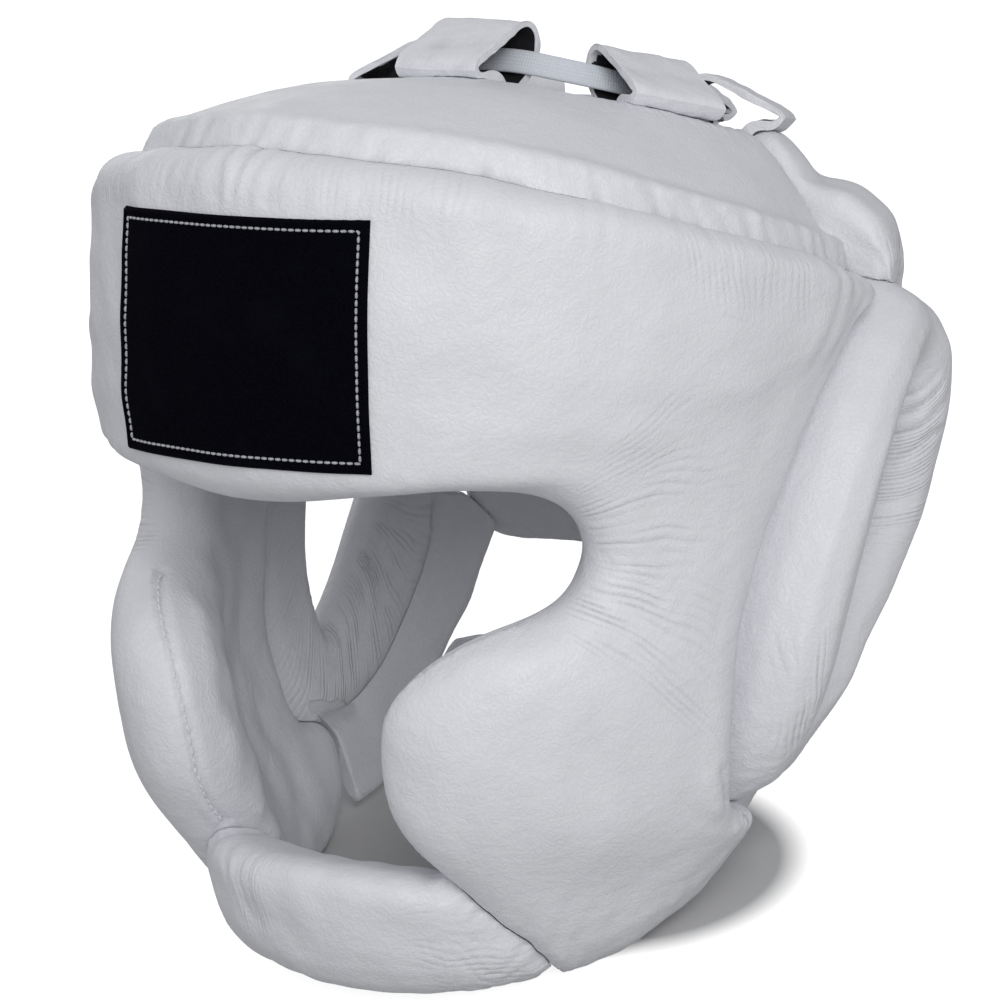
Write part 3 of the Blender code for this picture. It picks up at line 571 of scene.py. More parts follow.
def shape_back(worn, angle, depth):
    flat = np.stack([angle * MM_PER_DEGREE, worn[:, 2] * 1000.0], axis=1)
    turn, reach = ear_turn(angle, worn[:, 2])
    beside = window(reach, 0.98, 1.04, 1.10, 1.34)
    rise = 0.00036 * sharp(turn / 5.6 + 0.5 * waves(flat, 20.0, 30)) * beside * ramp(depth, 0.3, 0.6)
    low = window(worn[:, 2] * 1000.0, 100.0, 108.0, 114.0, 132.0)
    rise += 0.00034 * sharp(angle / 3.6 + 0.6 * waves(flat, 26.0, 31)) * low * ramp(depth, 0.25, 0.6)
    rise += 0.00040 * waves(flat, 36.0, 32)
    rise += 0.00055 * waves(flat * (0.6, 1.0), 22.0, 33) * ramp(depth, 0.30, 0.12)
    return rise


def shape_ear(worn, angle, depth):
    turn, reach = ear_turn(angle, worn[:, 2])
    flat = np.stack([angle * MM_PER_DEGREE, worn[:, 2] * 1000.0], axis=1)
    outer = ramp(depth, 0.25, 0.55)
    spread = 0.55 * waves(flat, 17.0, 40)
    rear = window(turn, 18.0, 42.0, 88.0, 112.0)
    foot = window(turn, 140.0, 160.0, 205.0, 236.0)
    near_edge = ramp(reach, 0.70, 0.98) + 0.8 * ramp(reach, 0.78, 0.52)
    rise = 0.00075 * sharp(turn / 5.0 + spread) * (0.35 * rear + 0.4 * foot) * near_edge * outer
    gathered = window(turn, 12.0, 22.0, 44.0, 56.0) * window(reach, 0.40, 0.46, 0.62, 0.78)
    rise += 0.00115 * sharp(turn / 9.0 + 0.35 * waves(flat, 15.0, 44)) * gathered * outer
    rise += 0.00016 * sharp(turn / 3.1 + spread) * window(turn, 110.0, 125.0, 150.0, 170.0) * outer
    rise += 0.00030 * waves(flat, 30.0, 41) * outer
    folded = sharp(turn / 5.6 + 0.9 * waves(flat, 16.0, 42))
    folded += 0.5 * sharp(turn / 3.3 + 1.4 * waves(flat, 9.0, 43))
    limb = 0.35 + window(turn, 14.0, 34.0, 200.0, 230.0)
    rise += 0.00022 * folded * limb * ramp(depth, 0.45, 0.20) * window(reach, 0.30, 0.5, 0.85, 1.02)
    return rise


CHIN_FOLDS = (
    (0.9, -0.30, ((-12.3, 47.3), (-11.8, 36.0), (-11.0, 23.9))),
    (0.9, -0.30, ((-9.1, 48.4), (-8.9, 36.0), (-8.5, 21.7))),
    (2.2, 0.35, ((-15.0, 44.0), (-14.2, 34.0), (-13.4, 24.0))),
    (2.4, -0.45, ((-23.5, 46.9), (-19.1, 44.1), (-15.4, 36.5))),
)


def shape_chin(worn, angle, depth):
    flat = np.stack([angle * MM_PER_DEGREE, worn[:, 2] * 1000.0], axis=1)
    outer = ramp(depth, 0.35, 0.65)
    rise = folds(angle, worn[:, 2], CHIN_FOLDS) * outer
    ends = ramp(np.abs(angle), 22.0, 38.0)
    rise += 0.00040 * sharp(worn[:, 2] * 1000.0 / 5.2 + 0.7 * waves(flat, 20.0, 50)) * ends * outer
    rise += 0.00035 * waves(flat, 26.0, 51)
    return rise


# Rim of the face opening, from the joint with the chin up to the eye corner.
RIM = (
    # angle, height of HEIGHT, seam depth
    (31.0, 0.186, 0.50),
    (27.5, 0.210, 0.55),
    (23.8, 0.250, 0.58),
    (22.4, 0.285, 0.58),
    (22.0, 0.312, 0.58),
    (22.0, 0.335, 0.58),
    (22.6, 0.362, 0.58),
    (25.0, 0.396, 0.57),
    (30.0, 0.430, 0.55),
    (37.0, 0.458, 0.52),
    (43.0, 0.472, 0.48),
)


def rim_line(sign, further_out=0.0):
    """Worn places of the stitched seam round the inside of the face opening, on one side."""
    rows = smooth_rows(RIM, 90)
    return wall(sign * rows[:, 0], rows[:, 1] * HEIGHT, rows[:, 2] + further_out)


def line_distance(places, line):
    """Distance of places from a line of close points."""
    best = np.full(len(places), 1.0)
    low, high = line.min(axis=0) - 0.025, line.max(axis=0) + 0.025
    near = np.all((places > low) & (places < high), axis=1)
    picked = places[near]
    found = np.full(len(picked), 1.0)
    for spot in line:
        found = np.minimum(found, np.linalg.norm(picked - spot, axis=1))
    best[near] = found
    return best


def picked_lines(rows):
    """For each point the strongest of some sets of fine creases: count across, mm along, strength."""
    strengths = np.stack([row[2] for row in rows])
    best = strengths.argmax(axis=0)
    pick = np.arange(strengths.shape[1])
    return np.stack([np.stack([row[k] for row in rows])[best, pick] for k in range(3)], axis=1)


def lines_face(worn, angle, depth):
    side = np.abs(angle)
    mm = worn[:, 2] * 1000.0
    outer = ramp(depth, 0.45, 0.70)
    fan = (side - 50.0) * MM_PER_DEGREE
    from_eye = np.maximum(fan + 26.0, 6.0)
    slope = (mm - 137.0 + 0.0045 * np.maximum(fan, 0.0) ** 2) / from_eye
    near = window(fan, -3.0, 6.0, 22.0, 60.0)
    temple = near * (window(slope, -0.85, -0.50, 0.30, 0.70) + 0.35 * window(slope, 0.25, 0.60, 0.85, 1.25))
    below = (groove_height(angle) - worn[:, 2]) * 1000.0
    brow = window(side, 60.0, 68.0, 82.0, 92.0) * window(below, 1.0, 4.0, 14.0, 26.0)
    front = window(side, 8.0, 12.0, 34.0, 46.0) * window(below, -1.0, 3.0, 8.0, 18.0)
    across = side * MM_PER_DEGREE
    turn, reach = ear_turn(angle, worn[:, 2])
    foot = window(turn, 172.0, 190.0, 236.0, 262.0) * window(reach, 0.98, 1.02, 1.10, 1.28)
    return picked_lines([
        (slope * 17.5, from_eye, temple * outer),
        (across / 2.3, mm, 0.45 * brow * outer),
        (across / 2.6, mm, 0.50 * front * outer),
        (turn / 2.6, reach * 60.0, 0.9 * foot * outer),
    ])


def lines_ear(worn, angle, depth):
    turn, reach = ear_turn(angle, worn[:, 2])
    outer = ramp(depth, 0.48, 0.66)
    inner = ramp(depth, 0.34, 0.18)
    rear = window(turn, 14.0, 34.0, 74.0, 100.0)
    foot = window(turn, 196.0, 210.0, 232.0, 248.0) * window(reach, 0.72, 0.80, 0.96, 1.04)
    behind = 0.35 + 0.65 * window(turn, 20.0, 50.0, 170.0, 220.0)
    return picked_lines([
        (turn / 1.9, reach * 60.0, 0.75 * rear * outer),
        (reach / 0.034, turn, foot * outer),
        (turn / 2.5 + 5.0 * reach, reach * 60.0, behind * inner),
    ])


def lines_back(worn, angle, depth):
    turn, reach = ear_turn(angle, worn[:, 2])
    mm = worn[:, 2] * 1000.0
    beside = window(reach, 1.00, 1.04, 1.12, 1.30) * ramp(depth, 0.3, 0.6)
    low = window(mm, 100.0, 108.0, 116.0, 134.0) * ramp(depth, 0.3, 0.6)
    return picked_lines([
        (turn / 2.2, reach * 60.0, 0.6 * beside),
        (np.abs(angle) * MM_PER_DEGREE / 2.4, mm, 0.6 * low),
    ])


def lines_top(worn, angle, depth):
    round_mm = np.hypot(worn[:, 0], worn[:, 1] - CROWN_SETBACK) * 1000.0
    crown = np.degrees(np.arctan2(np.abs(worn[:, 0]), CROWN_SETBACK - worn[:, 1]))
    near = window(round_mm, 52.0, 57.0, 66.0, 80.0) * ramp(worn[:, 2], 0.19, 0.21)
    return picked_lines([(crown / 2.5, round_mm, 0.35 * near)])


def lines_chin(worn, angle, depth):
    mm = worn[:, 2] * 1000.0
    ends = ramp(np.abs(angle), 20.0, 34.0) * ramp(depth, 0.35, 0.65)
    front = window(angle, -18.0, -13.0, -7.0, -2.0) * ramp(depth, 0.35, 0.65)
    return picked_lines([
        (mm / 2.4, np.abs(angle) * MM_PER_DEGREE, 0.6 * ends),
        (angle * MM_PER_DEGREE / 2.5, mm, 0.45 * front),
    ])


LINES = {
    "face_shell": lines_face,
    "top_pad": lines_top,
    "back_pad": lines_back,
    "chin_pad": lines_chin,
    "ear_guard_left": lines_ear,
    "ear_guard_right": lines_ear,
}
PADS = (
    # node, piece, voxel, cap, shape, groove, neighbours
    ("face_shell", "face_cover", 0.0029, 0.0020, shape_face, fill_brow_groove,
     ("top_pad", "back_pad", "chin_pad", "ear_guard_left", "ear_guard_right", "ear_panel_left",
      "ear_panel_right")),
    ("top_pad", "top_cover", 0.0025, 0.0016, shape_top, fill_top_groove, ("face_shell", "back_pad")),
    ("chin_pad", "chin_cover", 0.0019, 0.0018, shape_chin, None, ("face_shell",)),
    ("ear_guard_left", "ear_cover_left", 0.0021, 0.0018, shape_ear, None,
     ("face_shell", "back_pad", "ear_panel_left")),
    ("ear_guard_right", "ear_cover_right", 0.0021, 0.0018, shape_ear, None,
     ("face_shell", "back_pad", "ear_panel_right")),
    ("back_pad", "back_cover", 0.0030, 0.0020, shape_back, fill_back_groove,
     ("face_shell", "top_pad", "ear_guard_left", "ear_guard_right")),
)
TABS_NEAR = tuple(name for name in NODES if name.startswith("crown_tab"))


def mark_curvature(thing, rounds=3):
    """Attributes for the material: how far a place stands out, for rubbed edges, or lies in, for painted
    shade darkening concave places.
    """
    mesh = thing.data
    ends = edges_of(mesh)
    places = evened(points_of(mesh), ends, 2)
    gap = places - neighbour_mean(places, ends)
    length = np.linalg.norm(places[ends[:, 0]] - places[ends[:, 1]], axis=1).mean()
    bend = np.einsum("ij,ij->i", gap, normals_of(mesh)) / length ** 2
    bend = evened(bend, ends, rounds)
    rubbed = mesh.attributes.new("rubbed", "FLOAT", "POINT")
    rubbed.data.foreach_set("value", ramp(bend, 25.0, 110.0).astype(np.float32))
    # Painted shade: the lying-in share, which the leather uses to darken concave places.
    hollow_shade = mesh.attributes.new("hollow_shade", "FLOAT", "POINT")
    hollow_shade.data.foreach_set("value", ramp(bend, -12.0, -75.0).astype(np.float32))


def smooth_shaded(thing):
    thing.data.polygons.foreach_set("use_smooth", np.ones(len(thing.data.polygons), dtype=bool))
    thing.data.update()


def hand_over(thing, materials, nodes=()):
    """Gives a piece its materials, smooth shading and its body, and hides the solids that it stands for."""
    thing.data.materials.clear()
    for material in materials:
        thing.data.materials.append(material)
    smooth_shaded(thing)
    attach(thing, "root")
    if nodes:
        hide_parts(*nodes)


class Nodes:
    """Short way to put nodes in a material."""

    def __init__(self, name):
        self.material = bpy.data.materials.new(name)
        self.material.use_nodes = True
        self.tree = self.material.node_tree
        self.shader = self.tree.nodes["Principled BSDF"]

    def add(self, kind, inputs=(), **settings):
        node = self.tree.nodes.new(kind)
        for key, value in settings.items():
            setattr(node, key, value)
        for key, value in dict(inputs).items():
            if isinstance(value, bpy.types.NodeSocket):
                self.tree.links.new(value, node.inputs[key])
            else:
                node.inputs[key].default_value = value
        return node

    def link(self, source, target):
        self.tree.links.new(source, target)

    def mix(self, share, first, second):
        node = self.add("ShaderNodeMix", data_type="RGBA")
        for key, value in ((0, share), (6, first), (7, second)):
            if isinstance(value, bpy.types.NodeSocket):
                self.link(value, node.inputs[key])
            else:
                node.inputs[key].default_value = value
        return node.outputs[2]

    def range(self, value, low, high, start, end):
        node = self.add("ShaderNodeMapRange", {0: value, 1: low, 2: high, 3: start, 4: end})
        return node.outputs[0]

    def sum(self, first, second=0.0, operation="ADD"):
        return self.add("ShaderNodeMath", {0: first, 1: second}, operation=operation).outputs[0]


def leather(name, base, deep, rubbed_colour, rough=0.46, grain=1.0):
    made = Nodes(name)
    spot = made.add("ShaderNodeTexCoord").outputs["Object"]
    cloudy = made.add("ShaderNodeTexNoise", {"Vector": spot, "Scale": 17.0, "Detail": 1.0}).outputs[0]
    mottled = made.add("ShaderNodeTexNoise", {"Vector": spot, "Scale": 95.0, "Detail": 1.0}).outputs[0]
    grained = made.add("ShaderNodeTexNoise", {"Vector": spot, "Scale": 560.0, "Detail": 1.0}).outputs[0]
    pebbles = made.sum(made.sum(grained, -0.5), operation="ABSOLUTE")
    slant = made.add(
        "ShaderNodeMapping", {"Vector": spot, "Rotation": (0.5, 0.6, 0.4), "Scale": (1.0, 0.32, 1.0)}
    ).outputs[0]
    creased = made.add("ShaderNodeTexNoise", {"Vector": slant, "Scale": 230.0, "Detail": 1.0}).outputs[0]

    dimmer = tuple(0.985 * c for c in base[:3]) + (1.0,)
    tint = made.mix(made.range(cloudy, 0.35, 0.68, 0.0, 1.0), base, dimmer)
    tint = made.mix(made.range(mottled, 0.45, 0.75, 0.0, 0.07), tint, deep)
    tint = made.mix(made.range(pebbles, 0.0, 0.05, 0.10, 0.0), tint, deep)
    # Painted shade: concave places are darkened toward the deep colour.
    hollow_shade = made.add("ShaderNodeAttribute", attribute_name="hollow_shade").outputs["Fac"]
    tint = made.mix(made.range(hollow_shade, 0.0, 1.0, 0.0, 0.55), tint, deep)
    rubbed = made.add("ShaderNodeAttribute", attribute_name="rubbed").outputs["Fac"]
    worn_edge = made.sum(rubbed, made.range(mottled, 0.42, 0.66, 0.0, 1.0), "MULTIPLY")
    tint = made.mix(made.range(worn_edge, 0.0, 1.0, 0.0, 0.55), tint, rubbed_colour)

    lines = made.add("ShaderNodeAttribute", attribute_name="creases").outputs["Vector"]
    split = made.add("ShaderNodeSeparateXYZ", {0: lines}).outputs
    wide = made.add("ShaderNodeMapping", {"Vector": lines, "Scale": (0.14, 0.034, 0.0)}).outputs[0]
    wander = made.add("ShaderNodeTexNoise", {"Vector": wide, "Scale": 1.0, "Detail": 1.0}).outputs[0]
    short = made.add("ShaderNodeMapping", {"Vector": lines, "Scale": (0.42, 0.055, 0.0)}).outputs[0]
    broken = made.add("ShaderNodeTexNoise", {"Vector": short, "Scale": 1.0, "Detail": 0.0}).outputs[0]
    phase = made.sum(split[0], made.range(wander, 0.3, 0.7, -0.8, 0.8))
    ridge = made.sum(made.sum(made.sum(phase, math.pi, "MULTIPLY"), operation="SINE"), operation="ABSOLUTE")
    strength = made.sum(split[2], made.range(broken, 0.38, 0.60, 0.12, 1.0), "MULTIPLY")
    valley = made.sum(made.range(ridge, 0.0, 0.8, 1.0, 0.0), strength, "MULTIPLY")
    # Painted shade: the valleys of the fine crease lines are darkened toward the deep colour.
    tint = made.mix(made.range(valley, 0.0, 1.0, 0.0, 0.30), tint, deep)
    made.link(tint, made.shader.inputs["Base Color"])

    polished = made.sum(mottled, made.range(rubbed, 0.0, 1.0, 0.0, -0.12))
    gloss = made.range(polished, 0.3, 0.7, rough - 0.05, rough + 0.08)
    made.link(gloss, made.shader.inputs["Roughness"])
    made.shader.inputs["Specular IOR Level"].default_value = 0.42

    relief = made.sum(made.range(pebbles, 0.0, 0.14, -0.6, 0.4), made.range(creased, 0.3, 0.7, -0.9, 0.9))
    bump = made.add("ShaderNodeBump", {"Height": relief, "Strength": 0.42 * grain, "Distance": 0.00018})
    drawn = made.sum(made.sum(ridge, -0.64), strength, "MULTIPLY")
    lined = made.add("ShaderNodeBump", {"Height": drawn, "Distance": 0.00030, "Normal": bump.outputs[0]})
    lined.inputs["Strength"].default_value = 1.0
    made.link(lined.outputs[0], made.shader.inputs["Normal"])
    return made.material


def patch_cloth():
    """Matt loop fabric: short nap in small tufts, with faint lint."""
    made = Nodes("patch_cloth")
    spot = made.add("ShaderNodeTexCoord").outputs["Object"]
    nap = made.add("ShaderNodeTexNoise", {"Vector": spot, "Scale": 1500.0, "Detail": 3.0}).outputs[0]
    tufts = made.add("ShaderNodeTexVoronoi", {"Vector": spot, "Scale": 1050.0}).outputs[0]
    lint = made.add("ShaderNodeTexNoise", {"Vector": spot, "Scale": 60.0, "Detail": 4.0}).outputs[0]
    tufted = made.range(nap, 0.35, 0.75, 0.0, 1.0)
    tint = made.mix(tufted, (0.0006, 0.0006, 0.0022, 1.0), (0.0030, 0.0030, 0.0068, 1.0))
    tint = made.mix(made.range(lint, 0.55, 0.80, 0.0, 0.5), tint, (0.0045, 0.0045, 0.0085, 1.0))
    made.link(tint, made.shader.inputs["Base Color"])
    made.link(made.range(nap, 0.3, 0.7, 0.82, 0.98), made.shader.inputs["Roughness"])
    made.shader.inputs["Specular IOR Level"].default_value = 0.04
    relief = made.sum(made.range(tufts, 0.0, 0.6, 0.5, -0.5), made.range(nap, 0.3, 0.7, -0.5, 0.5))
    bump = made.add("ShaderNodeBump", {"Height": relief, "Strength": 0.6, "Distance": 0.00025})
    made.link(bump.outputs[0], made.shader.inputs["Normal"])
    return made.material


def band_cloth(name, first, second, along, across, rough=0.75):
    """Flat woven band: ribs from the band's own length and width, kept as UV in metres."""
    made = Nodes(name)
    spot = made.add("ShaderNodeUVMap", uv_map="band").outputs[0]
    stretched = made.add("ShaderNodeMapping", {"Vector": spot, "Scale": (along, across, 1.0)}).outputs[0]
    rib_form = {"Vector": stretched, "Scale": 1.0, "Distortion": 0.6}
    yarn_form = {"Vector": stretched, "Scale": 1.0, "Distortion": 0.5}
    ribs = made.add("ShaderNodeTexWave", rib_form, bands_direction="X")
    yarns = made.add("ShaderNodeTexWave", yarn_form, bands_direction="Y")
    fuzz = made.add("ShaderNodeTexNoise", {"Vector": spot, "Scale": 1600.0, "Detail": 3.0}).outputs[0]
    weave = made.sum(ribs.outputs[1], yarns.outputs[1], "MULTIPLY")
    tint = made.mix(made.range(weave, 0.0, 1.0, 0.0, 1.0), second, first)
    tint = made.mix(made.range(fuzz, 0.4, 0.8, 0.0, 0.35), tint, second)
    made.link(tint, made.shader.inputs["Base Color"])
    made.link(made.range(fuzz, 0.3, 0.7, rough - 0.06, rough + 0.08), made.shader.inputs["Roughness"])
    made.shader.inputs["Sheen Weight"].default_value = 0.12
    relief = made.sum(made.range(weave, 0.0, 1.0, -0.8, 0.8), made.range(fuzz, 0.3, 0.7, -0.2, 0.2))
    bump = made.add("ShaderNodeBump", {"Height": relief, "Strength": 0.5, "Distance": 0.0002})
    made.link(bump.outputs[0], made.shader.inputs["Normal"])
    return made.material


def thread(name, colour, dark):
    made = Nodes(name)
    spot = made.add("ShaderNodeTexCoord").outputs["Object"]
    strands = made.add("ShaderNodeTexNoise", {"Vector": spot, "Scale": 2600.0, "Detail": 2.0}).outputs[0]
    tint = made.mix(made.range(strands, 0.35, 0.7, 0.0, 1.0), colour, dark)
    made.link(tint, made.shader.inputs["Base Color"])
    made.link(made.range(strands, 0.3, 0.7, 0.50, 0.72), made.shader.inputs["Roughness"])
    bump = made.add("ShaderNodeBump", {"Height": strands, "Strength": 0.5, "Distance": 0.0001})
    made.link(bump.outputs[0], made.shader.inputs["Normal"])
    return made.material


LEATHER = leather(
    "leather_white",
    (0.800, 0.808, 0.842, 1.0),
    (0.545, 0.550, 0.590, 1.0),
    (0.860, 0.862, 0.872, 1.0),
)
PANEL_LEATHER = leather(
    "leather_panel",
    (0.775, 0.783, 0.820, 1.0),
    (0.500, 0.505, 0.545, 1.0),
    (0.840, 0.842, 0.855, 1.0),
    rough=0.50,
    grain=1.3,
)
# Near-black leather for the faces inside each loop.
TAB_INSIDE_DARK = leather(
    "tab_inside_dark",
    (0.016, 0.016, 0.020, 1.0),
    (0.006, 0.006, 0.008, 1.0),
    (0.040, 0.040, 0.045, 1.0),
    rough=0.62,
    grain=1.2,
)
PATCH = patch_cloth()
LACE = band_cloth("lace_webbing", (0.830, 0.865, 0.915, 1.0), (0.660, 0.700, 0.770, 1.0), 390.0, 620.0)
PATCH_THREAD = thread("patch_thread", (0.520, 0.530, 0.560, 1.0), (0.300, 0.305, 0.330, 1.0))
SEAM_THREAD = thread("seam_thread", (0.880, 0.885, 0.905, 1.0), (0.640, 0.645, 0.680, 1.0))


def make_pads():
    for node, name, voxel, cap, shape, groove, neighbours in PADS:
        thing = padded_mesh(node, name, voxel, cap)
        worn = to_worn(points_of(thing.data))
        angle, depth = wall_coords(worn)
        if groove:
            full, lift = groove(worn, angle, depth)
            before = wall(angle, worn[:, 2], depth)
            after = wall(angle, worn[:, 2], full) + np.outer(lift, (0.0, 0.0, 1.0))
            places = points_of(thing.data) + turned_to_rest(after - before)
            set_points(thing.data, evened(places, edges_of(thing.data), 1))
            worn = to_worn(points_of(thing.data))
            angle, depth = wall_coords(worn)
        rise = shape(worn, angle, depth)
        set_points(thing.data, points_of(thing.data) + rise[:, None] * normals_of(thing.data))
        if node == "top_pad":
            drawn_to(thing, ("face_shell",), 0.0045, chosen=ramp(depth, 0.30, 0.50))
        if node == "chin_pad":
            drawn_to(thing, ("face_shell",), 0.0055, chosen=ramp(depth, 0.05, 0.25))
        if node.startswith("ear_guard"):
            drawn_to(thing, ("face_shell",), 0.0070, chosen=ramp(depth, 0.60, 0.40))
        if node == "back_pad":
            turn, reach = ear_turn(angle, worn[:, 2])
            beside = ramp(np.cos(np.radians(turn)), 0.20, 0.70) * ramp(reach, 1.40, 1.15)
            beside *= ramp(depth, 0.20, 0.40)
            drawn_to(thing, ("ear_guard_left", "ear_guard_right"), 0.0065, chosen=beside)
        stay_clear(thing, neighbours, 0.00006 if node == "top_pad" else 0.00025)
        low = points_of(thing.data)
        low[:, 2] = np.maximum(low[:, 2], 0.0)
        set_points(thing.data, low)
        mark_curvature(thing)
        creases = thing.data.attributes.new("creases", "FLOAT_VECTOR", "POINT")
        creases.data.foreach_set("vector", LINES[node](worn, angle, depth).astype(np.float32).ravel())
        MADE[node] = tree_of(thing.data)
        hand_over(thing, [LEATHER], (node,))


def make_thin_pieces():
    """Panels under the ear guards and the strap behind the neck: thin leather, modelled directly."""
    def closed_up(worn, angle, depth):
        """The panel's edges drawn up to the face shell, the ear guard and the back pad."""
        turn, reach = ear_turn(angle, worn[:, 2])
        foot = window(turn, 150.0, 172.0, 208.0, 230.0)
        share = 1.0 - 0.040 * ramp(reach, 1.22, 1.06) - 0.045 * foot * ramp(reach, 1.40, 1.12)
        side = (np.abs(angle) - EAR_ANGLE) * share + EAR_ANGLE
        height = (worn[:, 2] - EAR_HEIGHT) * share + EAR_HEIGHT
        top = ramp(worn[:, 2], 0.096, 0.116)
        height = height + 0.0085 * top
        side = side + top * (3.6 * ramp(reach, 1.07, 1.14) - 1.6)
        front = ramp(np.abs(angle), 101.0, 95.0)
        corner = ramp(worn[:, 2], 0.046, 0.057)
        side = side - front * (2.0 + 6.5 * corner)
        height = height + 0.0020 * front * corner
        return wall(np.sign(angle) * side, height, depth)

    rows = (
        ("ear_panel_left", "side_panel_left", ("ear_guard_left", "face_shell", "back_pad")),
        ("ear_panel_right", "side_panel_right", ("ear_guard_right", "face_shell", "back_pad")),
        ("neck_strap", "nape_strap", ("ear_panel_left", "ear_panel_right")),
    )
    for node, name, neighbours in rows:
        thing = copy_of(node, name)
        finer = thing.modifiers.new("finer", "SUBSURF")
        finer.levels = 3
        applied(thing)
        regrow(thing, node, 3)
        worn = to_worn(points_of(thing.data))
        angle, depth = wall_coords(worn)
        flat = np.stack([np.abs(angle) * MM_PER_DEGREE, worn[:, 2] * 1000.0], axis=1)
        rise = 0.00030 * waves(flat, 20.0, 60) + 0.00008 * sharp(waves(flat * (0.5, 1.0), 22.0, 61) * 2.0)
        if node != "neck_strap":
            moved = closed_up(worn, angle, depth) - wall(angle, worn[:, 2], depth)
            set_points(thing.data, points_of(thing.data) + turned_to_rest(moved))
        places = points_of(thing.data) + rise[:, None] * normals_of(thing.data)
        places[:, 2] = np.maximum(places[:, 2], 0.0)
        set_points(thing.data, places)
        if node != "neck_strap":
            drawn_to(thing, neighbours[:1], 0.0040)
        stay_clear(thing, neighbours, 0.00012)
        mark_curvature(thing)
        MADE[node] = tree_of(thing.data)
        hand_over(thing, [PANEL_LEATHER], (node,))


def face_spot(angle, height, tree, start=1.6):
    """Place and normal on a piece where the wall line at an angle and height meets it from outside."""
    outside = Vector(to_rest(wall(angle, height, start)))
    inside = Vector(to_rest(wall(angle, height, 0.0)))
    spot, normal, _, _ = tree.ray_cast(outside, (inside - outside).normalized(), 0.12)
    return spot, normal


PATCH_LOW = 0.650 * HEIGHT
PATCH_HEIGHT = 0.068
PATCH_WIDTH = 0.0908
PATCH_MIDDLE = 3.0
BROW_BEND = 0.1215
PATCH_HALF = math.degrees(0.5 * PATCH_WIDTH / BROW_BEND)
PATCH_COLUMNS = 113
PATCH_LINES = 85


def make_patch():
    """A sheet of loop fabric with a folded border, laid on the brow and bridging its small folds."""
    tree = MADE["face_shell"]
    angles = PATCH_MIDDLE + PATCH_HALF * np.linspace(-1.0, 1.0, PATCH_COLUMNS)
    heights = PATCH_LOW + PATCH_HEIGHT * np.linspace(0.0, 1.0, PATCH_LINES)
    spots = np.zeros((PATCH_LINES, PATCH_COLUMNS, 3))
    for j, height in enumerate(heights):
        for i, angle in enumerate(angles):
            spot, _ = face_spot(float(angle), float(height), tree)
            spots[j, i] = spot
    smooth = spots.copy()
    for _ in range(14):
        inner = 0.25 * (smooth[:-2, 1:-1] + smooth[2:, 1:-1] + smooth[1:-1, :-2] + smooth[1:-1, 2:])
        smooth[1:-1, 1:-1] = inner
    across = np.gradient(smooth, axis=1)
    up = np.gradient(smooth, axis=0)
    normal = np.cross(across, up)
    normal /= np.linalg.norm(normal, axis=2)[:, :, None]
    lift = np.einsum("jik,jik->ji", spots - smooth, normal).clip(0.0, None)
    base = smooth + normal * (lift + 0.00025)[:, :, None]

    wide = PATCH_WIDTH * np.linspace(0.0, 1.0, PATCH_COLUMNS)[None, :]
    tall = PATCH_HEIGHT * np.linspace(0.0, 1.0, PATCH_LINES)[:, None]
    edge = np.minimum(np.minimum(wide, PATCH_WIDTH - wide), np.minimum(tall, PATCH_HEIGHT - tall))
    border = window(edge, -0.0004, 0.0007, 0.0017, 0.0026)
    border = np.where(edge < 0.0007, ramp(edge, -0.0006, 0.0006), border)
    dents = waves(np.stack(np.broadcast_arrays(wide, tall), axis=-1).reshape(-1, 2) * 1000.0, 17.0, 70)
    thick = 0.00085 + 0.00065 * border + 0.00010 * dents.reshape(edge.shape)
    thick *= 0.55 + 0.45 * ramp(edge, 0.0, 0.0007)
    channel = window(edge, 0.0022, 0.0027, 0.0029, 0.0034)
    thick -= 0.00022 * channel
    front = base + normal * thick[:, :, None]

    part = bmesh.new()
    top = [[part.verts.new(place) for place in line] for line in front]
    under = [[part.verts.new(place) for place in line] for line in base]
    for j in range(PATCH_LINES - 1):
        for i in range(PATCH_COLUMNS - 1):
            part.faces.new((top[j][i], top[j][i + 1], top[j + 1][i + 1], top[j + 1][i]))
            part.faces.new((under[j][i], under[j + 1][i], under[j + 1][i + 1], under[j][i + 1]))
    loop = [(0, i) for i in range(PATCH_COLUMNS)]
    loop += [(j, PATCH_COLUMNS - 1) for j in range(1, PATCH_LINES)]
    loop += [(PATCH_LINES - 1, i) for i in range(PATCH_COLUMNS - 2, -1, -1)]
    loop += [(j, 0) for j in range(PATCH_LINES - 2, 0, -1)]
    for k, (j, i) in enumerate(loop):
        n, m = loop[(k + 1) % len(loop)]
        part.faces.new((under[j][i], under[n][m], top[n][m], top[j][i]))
    bmesh.ops.recalc_face_normals(part, faces=part.faces[:])
    thing = new_thing("brow_patch", part)
    MADE["forehead_patch"] = tree_of(thing.data)
    hand_over(thing, [PATCH], ("forehead_patch",))

    inset = 0.0029
    left = -1.0 + 2.0 * inset / PATCH_WIDTH
    low = inset / PATCH_HEIGHT
    corners = [(left, low), (-left, low), (-left, 1.0 - low), (left, 1.0 - low), (left, low)]
    places = []
    for (a, b), (c, d) in zip(corners[:-1], corners[1:]):
        for part_way in np.linspace(0.0, 1.0, 40, endpoint=False):
            share = a + (c - a) * part_way
            height = b + (d - b) * part_way
            places.append(face_spot(PATCH_MIDDLE + PATCH_HALF * share, PATCH_LOW + PATCH_HEIGHT * height,
                                    MADE["forehead_patch"]))
    stitches("patch_stitching", [places + places[:1]], 0.0021, 0.0018, 0.00042, PATCH_THREAD)


